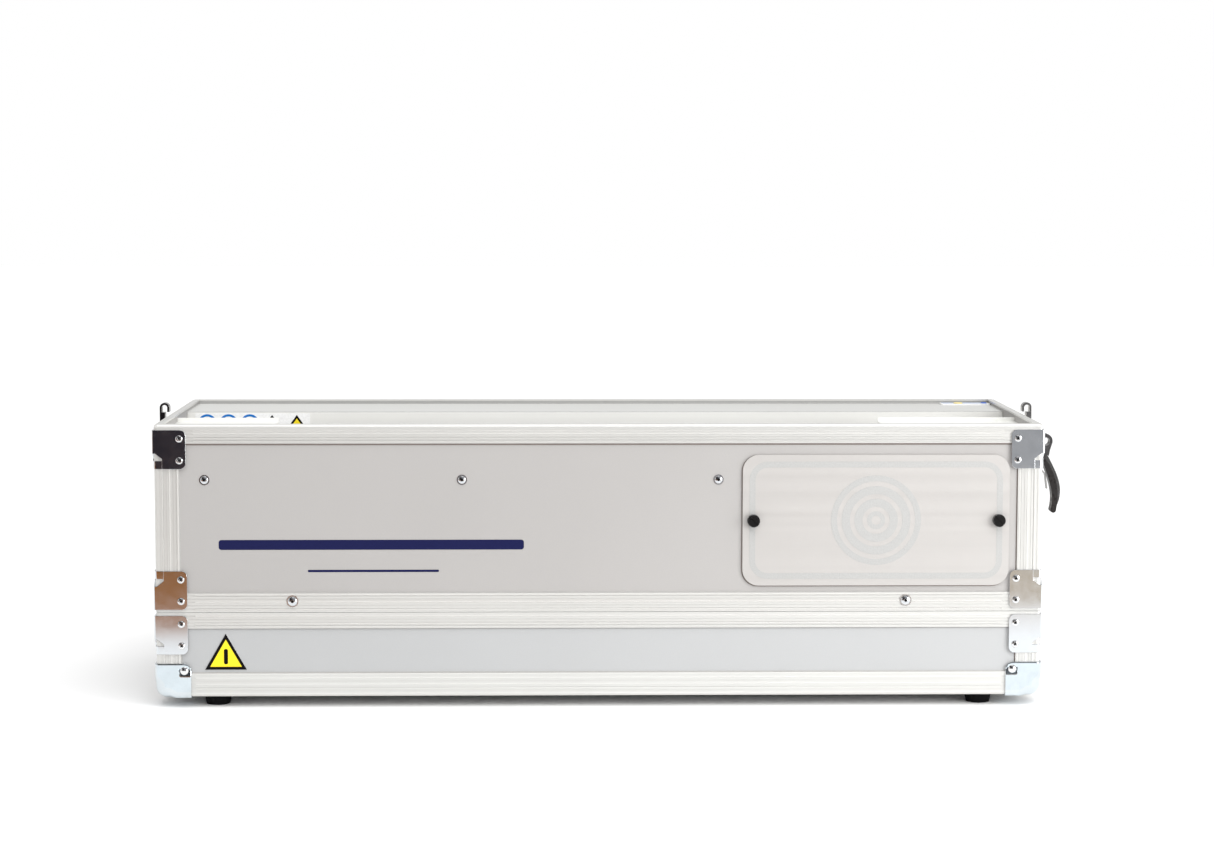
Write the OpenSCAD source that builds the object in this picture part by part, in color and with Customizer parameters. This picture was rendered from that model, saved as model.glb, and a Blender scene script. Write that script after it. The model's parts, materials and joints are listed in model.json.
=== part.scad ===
// Portable skate sharpener in a panelled aluminium transport case, with its lid off.
// The case stands on four rubber feet. Its base tray holds the electrics, its upper case the
// blade clamp and the travelling grinding unit. Units are millimetres, +Z is up, +X is the
// operator's right and -Y the operator's side. The origin is the middle of the whole object's
// outline on the floor; case_x and case_y carry the case's own centre there.

/* [Case] */
// Length of the case over its edge rails
case_w = 976; // [960:2:1000]
// Depth of the case over its edge rails
case_d = 340; // [334:2:350]
// Height of the base tray
base_h = 93.5; // [90:0.5:98]
// Height of the upper case
upper_h = 208; // [205:1:212]
// Height of the rubber feet
foot_h = 12.5; // [12:0.5:20]
// Thickness of the laminated panels
panel_t = 6; // [5:0.5:7]
// Sheet thickness of the edge rails
rail_t = 2; // [1.5:0.1:2]
// Width of the corner posts on each face
post_w = 27; // [25:1:30]

/* [Corner hardware] */
// Height of a corner brace
brace_h = 43; // [40:1:46]
// Length of a corner brace along each face
brace_w = 35; // [33:1:37]
// Radius of the ball at each bottom corner
ball_r = 14; // [12:1:15]
// Radius of a pop rivet head
rivet_r = 4; // [3:0.5:5]

/* [Service hatch] */
// Width of the hatch cover
cover_w = 294.5; // [280:0.5:295]
// Height of the hatch cover
cover_h = 145; // [140:1:148]
// Distance of the hatch centre right of the case centre
cover_x = 304.5; // [300:0.5:305]
// Radius of the thumb screw heads
thumb_r = 6.9; // [5.9:0.1:8]

/* [Clamp] */
// Opening between the jaws with the lever locked
jaw_gap = 5; // [4.6:0.2:6]
// Length of the jaws
jaw_w = 360; // [340:10:380]
// Angle that the clamp lever lifts through
lever_lift = 48; // [30:1:48]
// Sideways travel of the cam bar for one radian of the lever
bar_per_rad = 16.5; // [15:0.1:17]
// Slope of the cam slots: jaw travel over bar travel
cam_slope = 0.45; // [0.3:0.05:0.5]

/* [Grinding unit] */
// Radius of the grinding wheel
wheel_r = 37.5; // [34:0.5:38]
// Thickness of the grinding wheel
wheel_t = 8; // [6:1:10]
// Place of the wheel's axis along the case when parked
park_x = 304; // [300:1:306]
// Pitch radius of the belt pulleys
pulley_r = 12; // [10:1:13]

/* [Hidden] */
$fn = 48;
eps = 0.01;

// Levels
z_case = foot_h;
z_seam = z_case + base_h;
z_rim = z_seam + upper_h;
half_w = case_w / 2;
half_d = case_d / 2;
// Outer faces of the panels, which lie behind the rails
panel_x = half_w - rail_t;
panel_y = half_d - rail_t;
inner_x = panel_x - panel_t;
inner_y = panel_y - panel_t;

// Edge rails: height of each rail's face and width of its shelf
bottom_rail_h = 26;
base_top_rail_h = 17.5;
seam_rail_h = 21.5;
top_rail_h = 21;
bottom_shelf = 27;
seam_shelf = 12;
rim_shelf = 9;
seam_gap = 0.3;
mitre_gap = 0.1;
groove_w = 1.4;
groove_d = 0.5;
post_r = 3;

// Ball corners stand outside the rails by their own sheet
ball_t = 2;
ball_box = 20;
ball_leg = 40;
corner_cut = ball_box - ball_t;
ball_rivet_h = 2.2;
ball_rivet_x = 30.5;
ball_rivet_z = z_case + 29.3;

// Corner braces: a base sheet with a raised outer skin
brace_sheet = 1;
brace_skin = 1;
brace_free_r = 6.5;
brace_fold_r = 2;
brace_notch_w = 9;
brace_notch_slant = 7.5;
brace_notch_h = 12;
brace_notch_rise = 6;
brace_rivet_x = 28;
brace_rivet_dz = 12;
brace_z_base = z_case + 47.5;
brace_z_seam = z_seam + 3.5;
brace_z_top = z_rim - 6 - brace_h;

// Hatch
cover_z = 207.7;
cover_r = 18;
cover_t = 2.5;
hatch_w = 236;
hatch_h = 112;
thumb_dx = 135.4;
thumb_stem_r = 3;
thumb_hole_r = 3.4;
thumb_head_t = 8;
thumb_washer_t = 0.3;
cover_gap = 0.3;
cover_front = -panel_y - cover_gap - cover_t;

// Deck: plates just under the rim, with a channel between them for the clamp
deck_t = 1.5;
deck_z = z_rim - 5;
end_deck_z = deck_z - 4.5;
front_deck_z = z_rim - 20.5;
channel_front = -30;
channel_rear = 50;
left_deck_end = -365;
right_deck_end = 322;
rear_flange_z = 262;

// Clamp
plate_t = 8;
plate_z = 254;
plate_top = plate_z + plate_t;
beam_h = 16;
beam_d = 14;
beam_screw_z = 252.8 - 6;
bar_y = -60;
bar_z = 284.5;
bar_t = 6;
bar_d = 28;
jaw_d = 23;
jaw_top = 282;
jaw_run = 0.3;
pin_r = 4;
pin_x = 150;
guide_x = 188;
slot_r = pin_r + 0.3;
bar_travel = bar_per_rad * lever_lift * PI / 180;
tongue_w = 30;
rod_r = 5;

// Clamp lever, hinged on a bracket outside the right end panel
pivot_x = half_w + 17;
pivot_z = z_rim - 46;
lever_t = 14;
eye_dx = 4.8;
eye_dz = 16.4;
ring_dx = eye_dx - 0.8;
ring_dz = eye_dz + 0.5;
ring_r = 8.6;
eye_hole_r = 4.7;
lever_pin_r = 3;
hub_r = 5.2;
ear_r = 4.6;
lever_drop = 62;
bar_end_x = pivot_x + ring_dx - ring_r - 0.75;

// S-shaped lever in the XZ plane: s runs from 0 at the pivot to 1 at the tip
function lever_x(s) = pivot_x + 4.6 + 13 * sin(130 * pow(s, 1.15));
function lever_z(s) = pivot_z - lever_drop * s;
function lever_half(s) = 3.2 + 2.4 * sin(180 * pow(s, 0.8));
lever_steps = 16;

// Grinding unit
wheel_z = cover_z;
rod_y = 95;
rod_z = 150;
guide_r = 8;
block_t = 20;
pulley_x = 430;
axle_r = 3;
carriage_half = 95;
carriage_z = 164;
carriage_t = 9;
arm_x = park_x - 80;
arm_z = 194;
arm_t = 6;
arm_y = 8;
motor_r = 27;
motor_len = 92;
spindle_r = 5;

// End latches: distances are outward from the panel's face
latch_pivot_u = 8;
latch_pivot_z = z_rim - 56;
latch_crank = 8;
latch_crank_a = -10;
crank_cheek_r = 3.4;
crank_u = latch_pivot_u + latch_crank * cos(latch_crank_a);
crank_z = latch_pivot_z + latch_crank * sin(latch_crank_a);
hook_u = 12.4;
hook_r = 5.6;
hook_sheet = 2.6;
hook_arch_z = z_rim + 4.4;
hook_half_w = 5.5;

// End handles
handle_z = 185;
handle_u = 8.5;
handle_drop = 36;
handle_half = 52;

// Left-over sizes of the rear face
inlet_x = -380;
inlet_z = 64;
rocker_x = -330;
rocker_pin_r = 1.5;
rocker_pin_y = -8;
port_x = -330;
port_z = 205;
port_r = 17.5;

// The whole outline runs from the left latch to the lever, and from the thumb screws to the
// rear corner rivets, so the case centre sits a little left of and behind the origin.
reach_right = max([for (i = [0:lever_steps])
    lever_x(i / lever_steps) + lever_half(i / lever_steps)]);
reach_left = panel_x + crank_u + crank_cheek_r;
reach_front = -cover_front + thumb_head_t;
reach_rear = half_d + ball_t + ball_rivet_h;
case_x = -(reach_right - reach_left) / 2;
case_y = (reach_front - reach_rear) / 2;

// ---------------------------------------------------------------- helpers

function arc(cx, cy, r, a0, a1, n = 6) =
    [for (i = [0:n]) let (a = a0 + (a1 - a0) * i / n) [cx + r * cos(a), cy + r * sin(a)]];

// Shallow grooves along a face that runs from 0 to length, as steps of an outline at y = 0
function groove_spots(length, start, pitch) =
    [for (g = [start : pitch : length - 3]) g];

module at_case() {
    translate([case_x, case_y, 0]) children();
}

// Draws its child at the left front corner and mirrors it to the other three
module four_corners() {
    for (mx = [0, 1]) for (my = [0, 1])
        mirror([mx, 0, 0]) mirror([0, my, 0]) translate([-half_w, -half_d, 0]) children();
}

module front_and_rear() {
    for (my = [0, 1]) mirror([0, my, 0]) children();
}

module both_ends() {
    for (mx = [0, 1]) mirror([mx, 0, 0]) children();
}

module rounded_rect(w, h, r) {
    square([w - 2 * r, h], center = true);
    square([w, h - 2 * r], center = true);
    for (sx = [-1, 1]) for (sy = [-1, 1])
        translate([sx * (w / 2 - r), sy * (h / 2 - r)]) circle(r);
}

module slot_2d(length, r) {
    square([length - 2 * r, 2 * r], center = true);
    for (s = [-1, 1]) translate([s * (length / 2 - r), 0]) circle(r);
}

// A plate standing in the XZ plane, its front face at y = 0 and its back at y = t
module wall_plate(t) {
    rotate([90, 0, 0]) translate([0, 0, -t]) linear_extrude(t) children();
}

module bore_y(r, length) {
    rotate([-90, 0, 0]) cylinder(r = r, h = length);
}

module bore_x(r, length) {
    rotate([0, 90, 0]) cylinder(r = r, h = length);
}

// ---------------------------------------------------------------- edge rails

// L section: face on y = 0 from z = 0 up to face_h, shelf on z = 0 back to shelf_w
function rail_points(face_h, shelf_w, r) = concat(
    [[shelf_w, 0]],
    arc(r, r, r, 270, 180),
    [for (g = groove_spots(face_h, r + 2.5, 3.6))
        each [[0, g], [groove_d, g], [groove_d, g + groove_w], [0, g + groove_w]]],
    [[0, face_h], [rail_t, face_h], [rail_t, rail_t], [shelf_w, rail_t]]
);

// A rail along X, trimmed at both ends by a mitre and by cut
module edge_rail(length, face_h, shelf_w, r, cut) {
    reach = shelf_w + 2;
    x_face = length / 2 - max(cut, mitre_gap);
    intersection() {
        rotate([90, 0, 90]) translate([0, 0, -length / 2]) linear_extrude(length)
            polygon(rail_points(face_h, shelf_w, r));
        translate([0, 0, -1]) linear_extrude(face_h + 2) polygon([
            [-x_face, -1], [x_face, -1],
            [x_face, max(cut, 0)], [length / 2 - mitre_gap - reach, reach],
            [-length / 2 + mitre_gap + reach, reach], [-x_face, max(cut, 0)]
        ]);
    }
}

module rail_ring(face_h, shelf_w, r, cut = 0) {
    intersection() {
        union() {
            front_and_rear() translate([0, -half_d, 0])
                edge_rail(case_w, face_h, shelf_w, r, cut);
            both_ends() translate([-half_w, 0, 0]) rotate([0, 0, -90])
                edge_rail(case_d, face_h, shelf_w, r, cut);
        }
        translate([0, 0, -1]) linear_extrude(face_h + 2) rounded_rect(case_w, case_d, post_r);
    }
}

module base_bottom_rails() {
    color("gainsboro") translate([0, 0, z_case])
        rail_ring(bottom_rail_h, bottom_shelf, 3, corner_cut);
}

module base_top_rails() {
    color("gainsboro") translate([0, 0, z_seam]) mirror([0, 0, 1])
        rail_ring(base_top_rail_h, seam_shelf, 0.8);
}

module upper_bottom_rails() {
    color("gainsboro") translate([0, 0, z_seam + seam_gap])
        rail_ring(seam_rail_h - seam_gap, seam_shelf, 0.8);
}

module upper_top_rails() {
    color("whitesmoke") translate([0, 0, z_rim]) mirror([0, 0, 1])
        rail_ring(top_rail_h, rim_shelf, 4);
}

// Corner posts: an L in plan, grooved on both outer faces
function post_points() = concat(
    [for (g = [post_w - 4 : -3.6 : post_r + 1])
        each [[g + groove_w, 0], [g + groove_w, groove_d], [g, groove_d], [g, 0]]],
    arc(post_r, post_r, post_r, 270, 180),
    [for (g = groove_spots(post_w, post_r + 1.4, 3.6))
        each [[0, g], [groove_d, g], [groove_d, g + groove_w], [0, g + groove_w]]],
    [[0, post_w], [rail_t, post_w], [rail_t, rail_t], [post_w, rail_t], [post_w, 0]]
);

module corner_posts(z0, z1) {
    color("gainsboro") four_corners() translate([0, 0, z0]) linear_extrude(z1 - z0)
        polygon(post_points());
}

module base_corner_posts() {
    corner_posts(z_case + bottom_rail_h, z_seam - base_top_rail_h);
}

module upper_corner_posts() {
    corner_posts(z_seam + seam_rail_h, z_rim - top_rail_h);
}

// ---------------------------------------------------------------- panels

module corner_relief() {
    both_ends() front_and_rear() translate([-half_w - 1, -half_d - 1, z_case - 1])
        cube([corner_cut + 1, corner_cut + 1, corner_cut + 1]);
}

module base_floor() {
    color("silver") difference() {
        translate([-panel_x, -panel_y, z_case + rail_t])
            cube([2 * panel_x, 2 * panel_y, panel_t]);
        corner_relief();
        four_corners() translate([64, 30, z_case]) cylinder(r = 3.2, h = 20);
    }
}

// Panels stand on the floor panel
base_panel_z = z_case + rail_t + panel_t;
base_panel_h = z_seam - rail_t - base_panel_z;

module base_front_panel() {
    color("silver") difference() {
        translate([-panel_x, -panel_y, base_panel_z])
            cube([2 * panel_x, panel_t, base_panel_h]);
        corner_relief();
    }
}

module base_rear_panel() {
    color("silver") difference() {
        translate([-panel_x, inner_y, base_panel_z])
            cube([2 * panel_x, panel_t, base_panel_h]);
        corner_relief();
        // Cooling slots
        for (i = [0:9]) for (row = [0, 1])
            translate([60 + i * 14, inner_y - 1, 52 + row * 22]) wall_plate(panel_t + 2)
                rotate([0, 0, 90]) slot_2d(16, 2.5);
        // Openings for the mains inlet and its switch
        translate([inlet_x, inner_y - 1, inlet_z]) wall_plate(panel_t + 2)
            square([28.4, 24.4], center = true);
        translate([rocker_x, inner_y - 1, inlet_z]) wall_plate(panel_t + 2)
            square([18.4, 25.4], center = true);
    }
}

module base_end_panels() {
    color("silver") both_ends() difference() {
        translate([-panel_x, -inner_y, base_panel_z])
            cube([panel_t, 2 * inner_y, base_panel_h]);
        corner_relief();
    }
}

upper_panel_z = z_seam + seam_gap + rail_t;
upper_panel_h = z_rim - rail_t - upper_panel_z;

module upper_front_panel() {
    color("silver") difference() {
        translate([-panel_x, -panel_y, upper_panel_z])
            cube([2 * panel_x, panel_t, upper_panel_h]);
        translate([cover_x, -panel_y - 1, cover_z]) wall_plate(panel_t + 2)
            square([hatch_w, hatch_h], center = true);
        for (s = [-1, 1]) translate([cover_x + s * thumb_dx, -panel_y - 1, cover_z])
            bore_y(thumb_hole_r, panel_t + 2);
    }
}

module upper_rear_panel() {
    color("silver") difference() {
        translate([-panel_x, inner_y, upper_panel_z])
            cube([2 * panel_x, panel_t, upper_panel_h]);
        translate([port_x, inner_y - 1, port_z]) bore_y(port_r + 3.1, panel_t + 2);
    }
}

module upper_end_panels() {
    color("silver") difference() {
        both_ends() translate([-panel_x, -inner_y, upper_panel_z])
            cube([panel_t, 2 * inner_y, upper_panel_h]);
        // Hole for the cam bar's push rod
        translate([inner_x - 1, bar_y, bar_z]) bore_x(rod_r + 1.5, panel_t + 2);
    }
}

// ---------------------------------------------------------------- corner hardware

// A bottom corner cap: ball at the corner, folded legs along the three edges
module ball_corner() {
    translate([-ball_t, -ball_t, z_case - ball_t]) {
        difference() {
            intersection() {
                cube(ball_box);
                ball_solid(ball_r, ball_box + 1);
            }
            translate([7.5, 7.5, 7.5]) cube(ball_box);
        }
        ball_legs();
    }
}

// A cube's corner rounded by a ball, its three edges by cylinders
module ball_solid(r, size) {
    translate([r, r, r]) sphere(r = r);
    translate([r, r, r]) cylinder(r = r, h = size);
    translate([r, r, r]) bore_x(r, size);
    translate([r, r, r]) bore_y(r, size);
    translate([0, r, r]) cube(size);
    translate([r, 0, r]) cube(size);
    translate([r, r, 0]) cube(size);
}

// Sheet legs: an L section along each of the three edges, outer corner on the axis
module ball_legs() {
    x0 = ball_box - eps;
    run = ball_leg - ball_box;
    // Along X: front and bottom
    translate([x0, 0, 0]) rotate([90, 0, 90]) linear_extrude(run)
        leg_section(ball_leg - 0.5, ball_leg - 1);
    // Along Y: side and bottom
    translate([0, x0 + run, 0]) rotate([90, 0, 0]) linear_extrude(run)
        leg_section(ball_leg - 1, ball_leg - 0.5);
    // Along Z: front and side
    translate([0, 0, x0]) linear_extrude(ball_leg - 2.4 - ball_box)
        leg_section(ball_leg - 12, ball_leg - 12);
}

module leg_section(a, b) {
    polygon(concat([[a, 0]], arc(5, 5, 5, 270, 180), [[0, b], [ball_t, b]],
        arc(5, 5, 3, 180, 270), [[a, ball_t]]));
}

module ball_corners() {
    color("lightsteelblue") four_corners() ball_corner();
}

// A folded corner brace, its notch at the bottom. Local origin: the rails' outer corner.
module brace_leg(t, length) {
    // plate in XZ with rounded free corners, from x = post_r to length
    r = brace_free_r;
    translate([post_r, 0, 0]) wall_plate(t) {
        translate([0, 0]) square([length - post_r - r, brace_h]);
        translate([0, r]) square([length - post_r, brace_h - 2 * r]);
        for (z = [r, brace_h - r]) translate([length - post_r - r, z]) circle(r);
    }
}

module brace_legs(offset_out, t) {
    // offset_out: distance of the layer's outer face outside the rails
    translate([0, -offset_out, 0]) brace_leg(t, brace_w);
    mirror([1, -1, 0]) translate([0, -offset_out, 0]) brace_leg(t, brace_w);
}

// The base sheet's fold follows the post's round corner
module sheet_fold() {
    intersection() {
        translate([post_r, post_r, 0]) difference() {
            cylinder(r = post_r + brace_sheet, h = brace_h);
            translate([0, 0, -1]) cylinder(r = post_r, h = brace_h + 2);
        }
        translate([-brace_sheet - 1, -brace_sheet - 1, 0])
            cube([post_r + brace_sheet + 1 + eps, post_r + brace_sheet + 1 + eps, brace_h]);
    }
}

// The outer skin's fold is pressed sharper and lies on the sheet
module skin_fold() {
    out = brace_sheet + brace_skin;
    side = post_r + out + eps;
    difference() {
        translate([-out, -out, 0]) linear_extrude(brace_h) {
            translate([brace_fold_r, 0]) square([side - brace_fold_r, side]);
            translate([0, brace_fold_r]) square([side, side - brace_fold_r]);
            translate([brace_fold_r, brace_fold_r]) circle(brace_fold_r);
        }
        translate([post_r, post_r, -1]) cylinder(r = post_r + brace_sheet - eps, h = brace_h + 2);
    }
}

// Cut of the notch through one leg, slanted at the top
module brace_notch() {
    points = [[-8, -1], [brace_notch_w, -1], [brace_notch_w, brace_notch_h - 1],
        [brace_notch_w - brace_notch_slant, brace_notch_h + brace_notch_rise - 1],
        [-8, brace_notch_h + brace_notch_rise - 1]];
    translate([0, -8, 0]) wall_plate(8 + brace_notch_w - brace_notch_slant) polygon(points);
}

// The base sheet keeps only a low strip inside the notch
module brace_notch_window() {
    strip_h = 9;
    difference() {
        brace_notch();
        translate([-10, -10, -2]) cube([20 + brace_notch_w, 20 + brace_notch_w, strip_h + 2]);
    }
}

module corner_brace() {
    difference() {
        union() {
            brace_legs(brace_sheet, brace_sheet);
            sheet_fold();
        }
        brace_notch_window();
        mirror([1, -1, 0]) brace_notch_window();
    }
    difference() {
        union() {
            brace_legs(brace_sheet + brace_skin, brace_skin + eps);
            skin_fold();
        }
        brace_notch();
        mirror([1, -1, 0]) brace_notch();
    }
}

module flipped_brace() {
    translate([0, 0, brace_h]) mirror([0, 0, 1]) corner_brace();
}

module base_corner_braces() {
    color("lightsteelblue") four_corners() translate([0, 0, brace_z_base]) corner_brace();
}

module upper_corner_braces() {
    color("lightgray") four_corners() translate([0, 0, brace_z_top]) corner_brace();
    color("tan") four_corners() translate([0, 0, brace_z_seam]) flipped_brace();
}

// A pop rivet head with its open middle, seat at z = 0, pointing to +z
module rivet_head(r, h, hole) {
    rotate_extrude() polygon(concat(
        [[hole, 0], [r, 0]],
        arc(r - h, 0, h, 10, 90, 5),
        [[hole + 0.6, h], [hole, h - 0.6]]
    ));
}

// Puts children on the front leg and on the side leg of a corner, at x from the corner and z
module on_legs(x, z, out) {
    translate([x, -out, z]) rotate([90, 0, 0]) children();
    translate([-out, x, z]) rotate([0, -90, 0]) children();
}

module brace_rivets() {
    seat = brace_sheet + brace_skin;
    color("silver") four_corners() {
        for (z0 = [brace_z_base, brace_z_seam, brace_z_top]) for (s = [-1, 1])
            on_legs(brace_rivet_x, z0 + brace_h / 2 + s * brace_rivet_dz, seat)
                rivet_head(rivet_r, 1.8, 1.2);
        on_legs(ball_rivet_x, ball_rivet_z, ball_t) rivet_head(rivet_r + 0.6, ball_rivet_h, 0.6);
    }
}

module rubber_feet() {
    color("black") four_corners() translate([64, 30, 0]) difference() {
        union() {
            cylinder(r1 = 13, r2 = 15, h = foot_h - 3);
            translate([0, 0, foot_h - 3]) cylinder(r = 15, h = 3);
            // spigot into the floor panel
            translate([0, 0, foot_h - 1]) cylinder(r = 3, h = 8);
        }
        translate([0, 0, -1]) cylinder(r = 5, h = 5);
    }
}

// A pan head with a hexagon socket on a flat washer, seat at z = 0, pointing to +z
module pan_head(r) {
    difference() {
        rotate_extrude() polygon(concat(
            [[0, 0], [r, 0], [r, 0.5]],
            [for (a = [0:14:70]) [0.82 * r * cos(a), 0.5 + 0.42 * r * sin(a)]],
            [[0, 0.5 + 0.42 * r * sin(70)]]
        ));
        translate([0, 0, 1.1]) cylinder(r = 1.7, h = r, $fn = 6);
    }
}

beam_screw_xs = [for (i = [0:3]) -433.4 + i * 282];
rail_screw_x = 338;
deck_screw_xs = [-455, -385, 345, 455];

module case_screws() {
    color("silver") {
        for (x = [beam_screw_xs[0], beam_screw_xs[1], beam_screw_xs[2]])
            translate([x, -panel_y, 252.8]) rotate([90, 0, 0]) pan_head(5.6);
        for (x = beam_screw_xs) translate([x, panel_y, 252.8]) rotate([-90, 0, 0]) pan_head(5.6);
        front_and_rear() for (s = [-1, 1])
            translate([s * rail_screw_x, -half_d, z_seam + 12.8]) rotate([90, 0, 0]) pan_head(6.6);
        for (x = deck_screw_xs) translate([x, -148, end_deck_z]) pan_head(4);
    }
}

// Thin stickers: a triangle on the base front panel and a strip in the channel
label_t = 0.4;

module safety_labels() {
    color("yellow") translate([-411.9, -panel_y - label_t, 42.5]) wall_plate(label_t)
        polygon([[-23, 0], [23, 0], [0, 40]]);
    color("white") translate([-403, channel_rear - label_t, 294.5]) wall_plate(label_t)
        square([134, 25], center = true);
}

// ---------------------------------------------------------------- deck

// Plate under the rim, from x0 to x1 and y0 to y1, with its top at z
module deck_sheet(x0, x1, y0, y1, z) {
    translate([x0, y0, z - deck_t]) cube([x1 - x0, y1 - y0, deck_t]);
}

module rear_deck() {
    color("gainsboro") {
        difference() {
            deck_sheet(-inner_x, inner_x, channel_rear, inner_y, deck_z);
            button_holes(deck_z - deck_t - 1, 4);
        }
        translate([-inner_x, channel_rear, rear_flange_z])
            cube([2 * inner_x, deck_t, deck_z - deck_t - rear_flange_z + eps]);
    }
}

module front_deck() {
    color("gainsboro") {
        deck_sheet(left_deck_end + 2, right_deck_end - 2, -inner_y, channel_front - 2,
            front_deck_z);
        translate([left_deck_end + 2, channel_front - 2 - deck_t, 289])
            cube([right_deck_end - left_deck_end - 4, deck_t, front_deck_z - deck_t - 289 + eps]);
    }
}

// A plate over one end of the clamp, with flanges down to the clamp plate. The flange along
// the channel also stands up above the plate as a lip.
module end_deck(x0, x1, flange_x) {
    deck_sheet(x0, x1, -inner_y, channel_front, end_deck_z);
    translate([x0, channel_front - deck_t, rear_flange_z])
        cube([x1 - x0, deck_t, deck_z - rear_flange_z]);
    difference() {
        translate([flange_x, -inner_y, rear_flange_z])
            cube([deck_t, channel_front + inner_y, end_deck_z - deck_t - rear_flange_z + eps]);
        translate([flange_x - 1, bar_y - bar_d / 2 - 2, bar_z - bar_t / 2 - 2.5])
            cube([deck_t + 2, bar_d + 4, bar_t + 5]);
    }
}

module front_left_deck() {
    color("gainsboro") end_deck(-inner_x, left_deck_end, left_deck_end - deck_t);
}

module front_right_deck() {
    color("gainsboro") end_deck(right_deck_end, inner_x, right_deck_end);
}

// Low control panel on the rear deck, at the operator's right, with two push buttons
panel_cx = 449.4;
panel_cy = 147;
panel_h = 1.2;
start_x = 441;
start_y = 147;
start_r = 5.5;
stop_x = 473;
stop_y = 151;
stop_r = 3.5;
button_len = 8;
button_top = 0.9;
button_travel = 0.8;

module button_holes(z, h) {
    translate([start_x, start_y, z]) cylinder(r = start_r + 0.3, h = h);
    translate([stop_x, stop_y, z]) cylinder(r = stop_r + 0.3, h = h);
}

module control_panel() {
    color("whitesmoke") difference() {
        translate([panel_cx, panel_cy, deck_z]) linear_extrude(panel_h) rounded_rect(60, 20, 3);
        button_holes(deck_z - 1, 4);
    }
}

module push_button(r) {
    top = deck_z + panel_h + button_top;
    translate([0, 0, top - button_len]) cylinder(r = r, h = button_len - 0.5);
    translate([0, 0, top - 0.5]) cylinder(r1 = r, r2 = r - 0.5, h = 0.5);
}

module start_button() {
    color("khaki") translate([start_x, start_y, 0]) push_button(start_r);
}

module stop_button() {
    color("royalblue") translate([stop_x, stop_y, 0]) push_button(stop_r);
}

// ---------------------------------------------------------------- service hatch

module access_cover() {
    color("whitesmoke") translate([cover_x, cover_front, cover_z]) difference() {
        wall_plate(cover_t) rounded_rect(cover_w, cover_h, cover_r);
        for (s = [-1, 1]) translate([s * thumb_dx, -1, 0])
            bore_y(thumb_stem_r + 0.05, cover_t + 2);
    }
}

// Slotted thumb screw, its head's seat on y = 0 and its stem towards +y
module thumb_screw() {
    difference() {
        union() {
            translate([0, -thumb_washer_t, 0]) rotate([90, 0, 0])
                cylinder(r = thumb_r, h = thumb_head_t - 1 - thumb_washer_t);
            translate([0, -thumb_head_t + 1, 0]) rotate([90, 0, 0])
                cylinder(r1 = thumb_r, r2 = thumb_r - 1, h = 1);
            translate([0, -1, 0]) bore_y(thumb_stem_r, 13);
        }
        rotate([0, 45, 0]) translate([-thumb_r - 1, -thumb_head_t - 1, -0.7])
            cube([2 * thumb_r + 2, 3, 1.4]);
    }
}

module thumb_screw_left() {
    color("black") translate([cover_x - thumb_dx, cover_front, cover_z]) thumb_screw();
}

module thumb_screw_right() {
    color("black") translate([cover_x + thumb_dx, cover_front, cover_z]) thumb_screw();
}

// ---------------------------------------------------------------- blade clamp

// Full-length plate under the channel, on beams that the panel screws hold
module clamp_plate() {
    color("darkgray") {
        difference() {
            translate([-inner_x, -inner_y, plate_z]) cube([2 * inner_x, 2 * inner_y, plate_t]);
            // Slot that the wheel works through over its whole travel
            translate([0, 0, plate_z - 1]) linear_extrude(plate_t + 2)
                slot_2d(2 * (park_x + 42), 12);
        }
        difference() {
            front_and_rear() translate([-inner_x, -inner_y, plate_z - beam_h])
                cube([2 * inner_x, beam_d, beam_h + eps]);
            // The front beam leaves the hatch free
            translate([cover_x - hatch_w / 2 - 6, -inner_y - 1, plate_z - beam_h - 1])
                cube([hatch_w + 12, beam_d + 2, beam_h + 1]);
        }
        // Saddles that the cam bar slides in
        for (s = [-1, 1]) translate([s * guide_x - 6, bar_y, plate_top - eps]) {
            translate([0, -bar_d / 2 - 5, 0])
                cube([12, bar_d + 10, bar_z - bar_t / 2 - 0.3 - plate_top]);
            for (y = [-bar_d / 2 - 5, bar_d / 2 + 0.4])
                translate([0, y, 0]) cube([12, 4.6, bar_z + 3.5 - plate_top]);
        }
    }
}

module fixed_jaw() {
    color("slategray") translate([-jaw_w / 2, jaw_gap / 2, plate_top]) difference() {
        union() {
            cube([jaw_w, jaw_d, jaw_top - plate_top - 4]);
            cube([jaw_w, jaw_d - 9, jaw_top - plate_top]);
        }
        for (i = [0:4]) translate([30 + i * 75, jaw_d - 4.5, 8]) cylinder(r = 3, h = 20);
    }
}

// The moving jaw slides on the plate; its tongues carry the pins that the cam bar drives
module moving_jaw() {
    z0 = plate_top + jaw_run;
    color("slategray") {
        translate([-jaw_w / 2, -jaw_gap / 2 - jaw_d, z0]) {
            cube([jaw_w, jaw_d, jaw_top - z0 - 4]);
            translate([0, 9, 0]) cube([jaw_w, jaw_d - 9, jaw_top - z0]);
        }
        for (s = [-1, 1]) {
            translate([s * pin_x - tongue_w / 2, bar_y - 12, z0 + 2])
                cube([tongue_w, -bar_y + 12 - jaw_gap / 2 - jaw_d + 1, 10]);
            translate([s * pin_x, bar_y, z0 + 11]) cylinder(r = pin_r, h = 290 - z0 - 11);
        }
    }
}

// Flat bar with two slanted slots. The bar moves to -X as the lever lifts, and the slots
// draw the pins, and so the jaw, towards -Y.
module clamp_bar() {
    slot_len = bar_travel / cos(atan(cam_slope)) + 2 * slot_r + 0.6;
    color("lightslategray") difference() {
        union() {
            translate([-pin_x - 70, bar_y - bar_d / 2, bar_z - bar_t / 2])
                cube([2 * pin_x + 140, bar_d, bar_t]);
            translate([pin_x + 60, bar_y, bar_z]) bore_x(rod_r, bar_end_x - pin_x - 60);
        }
        for (s = [-1, 1]) translate([s * pin_x + bar_travel / 2,
                bar_y - bar_travel / 2 * cam_slope, bar_z - bar_t])
            linear_extrude(2 * bar_t) rotate([0, 0, -atan(cam_slope)]) slot_2d(slot_len, slot_r);
    }
}

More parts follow.
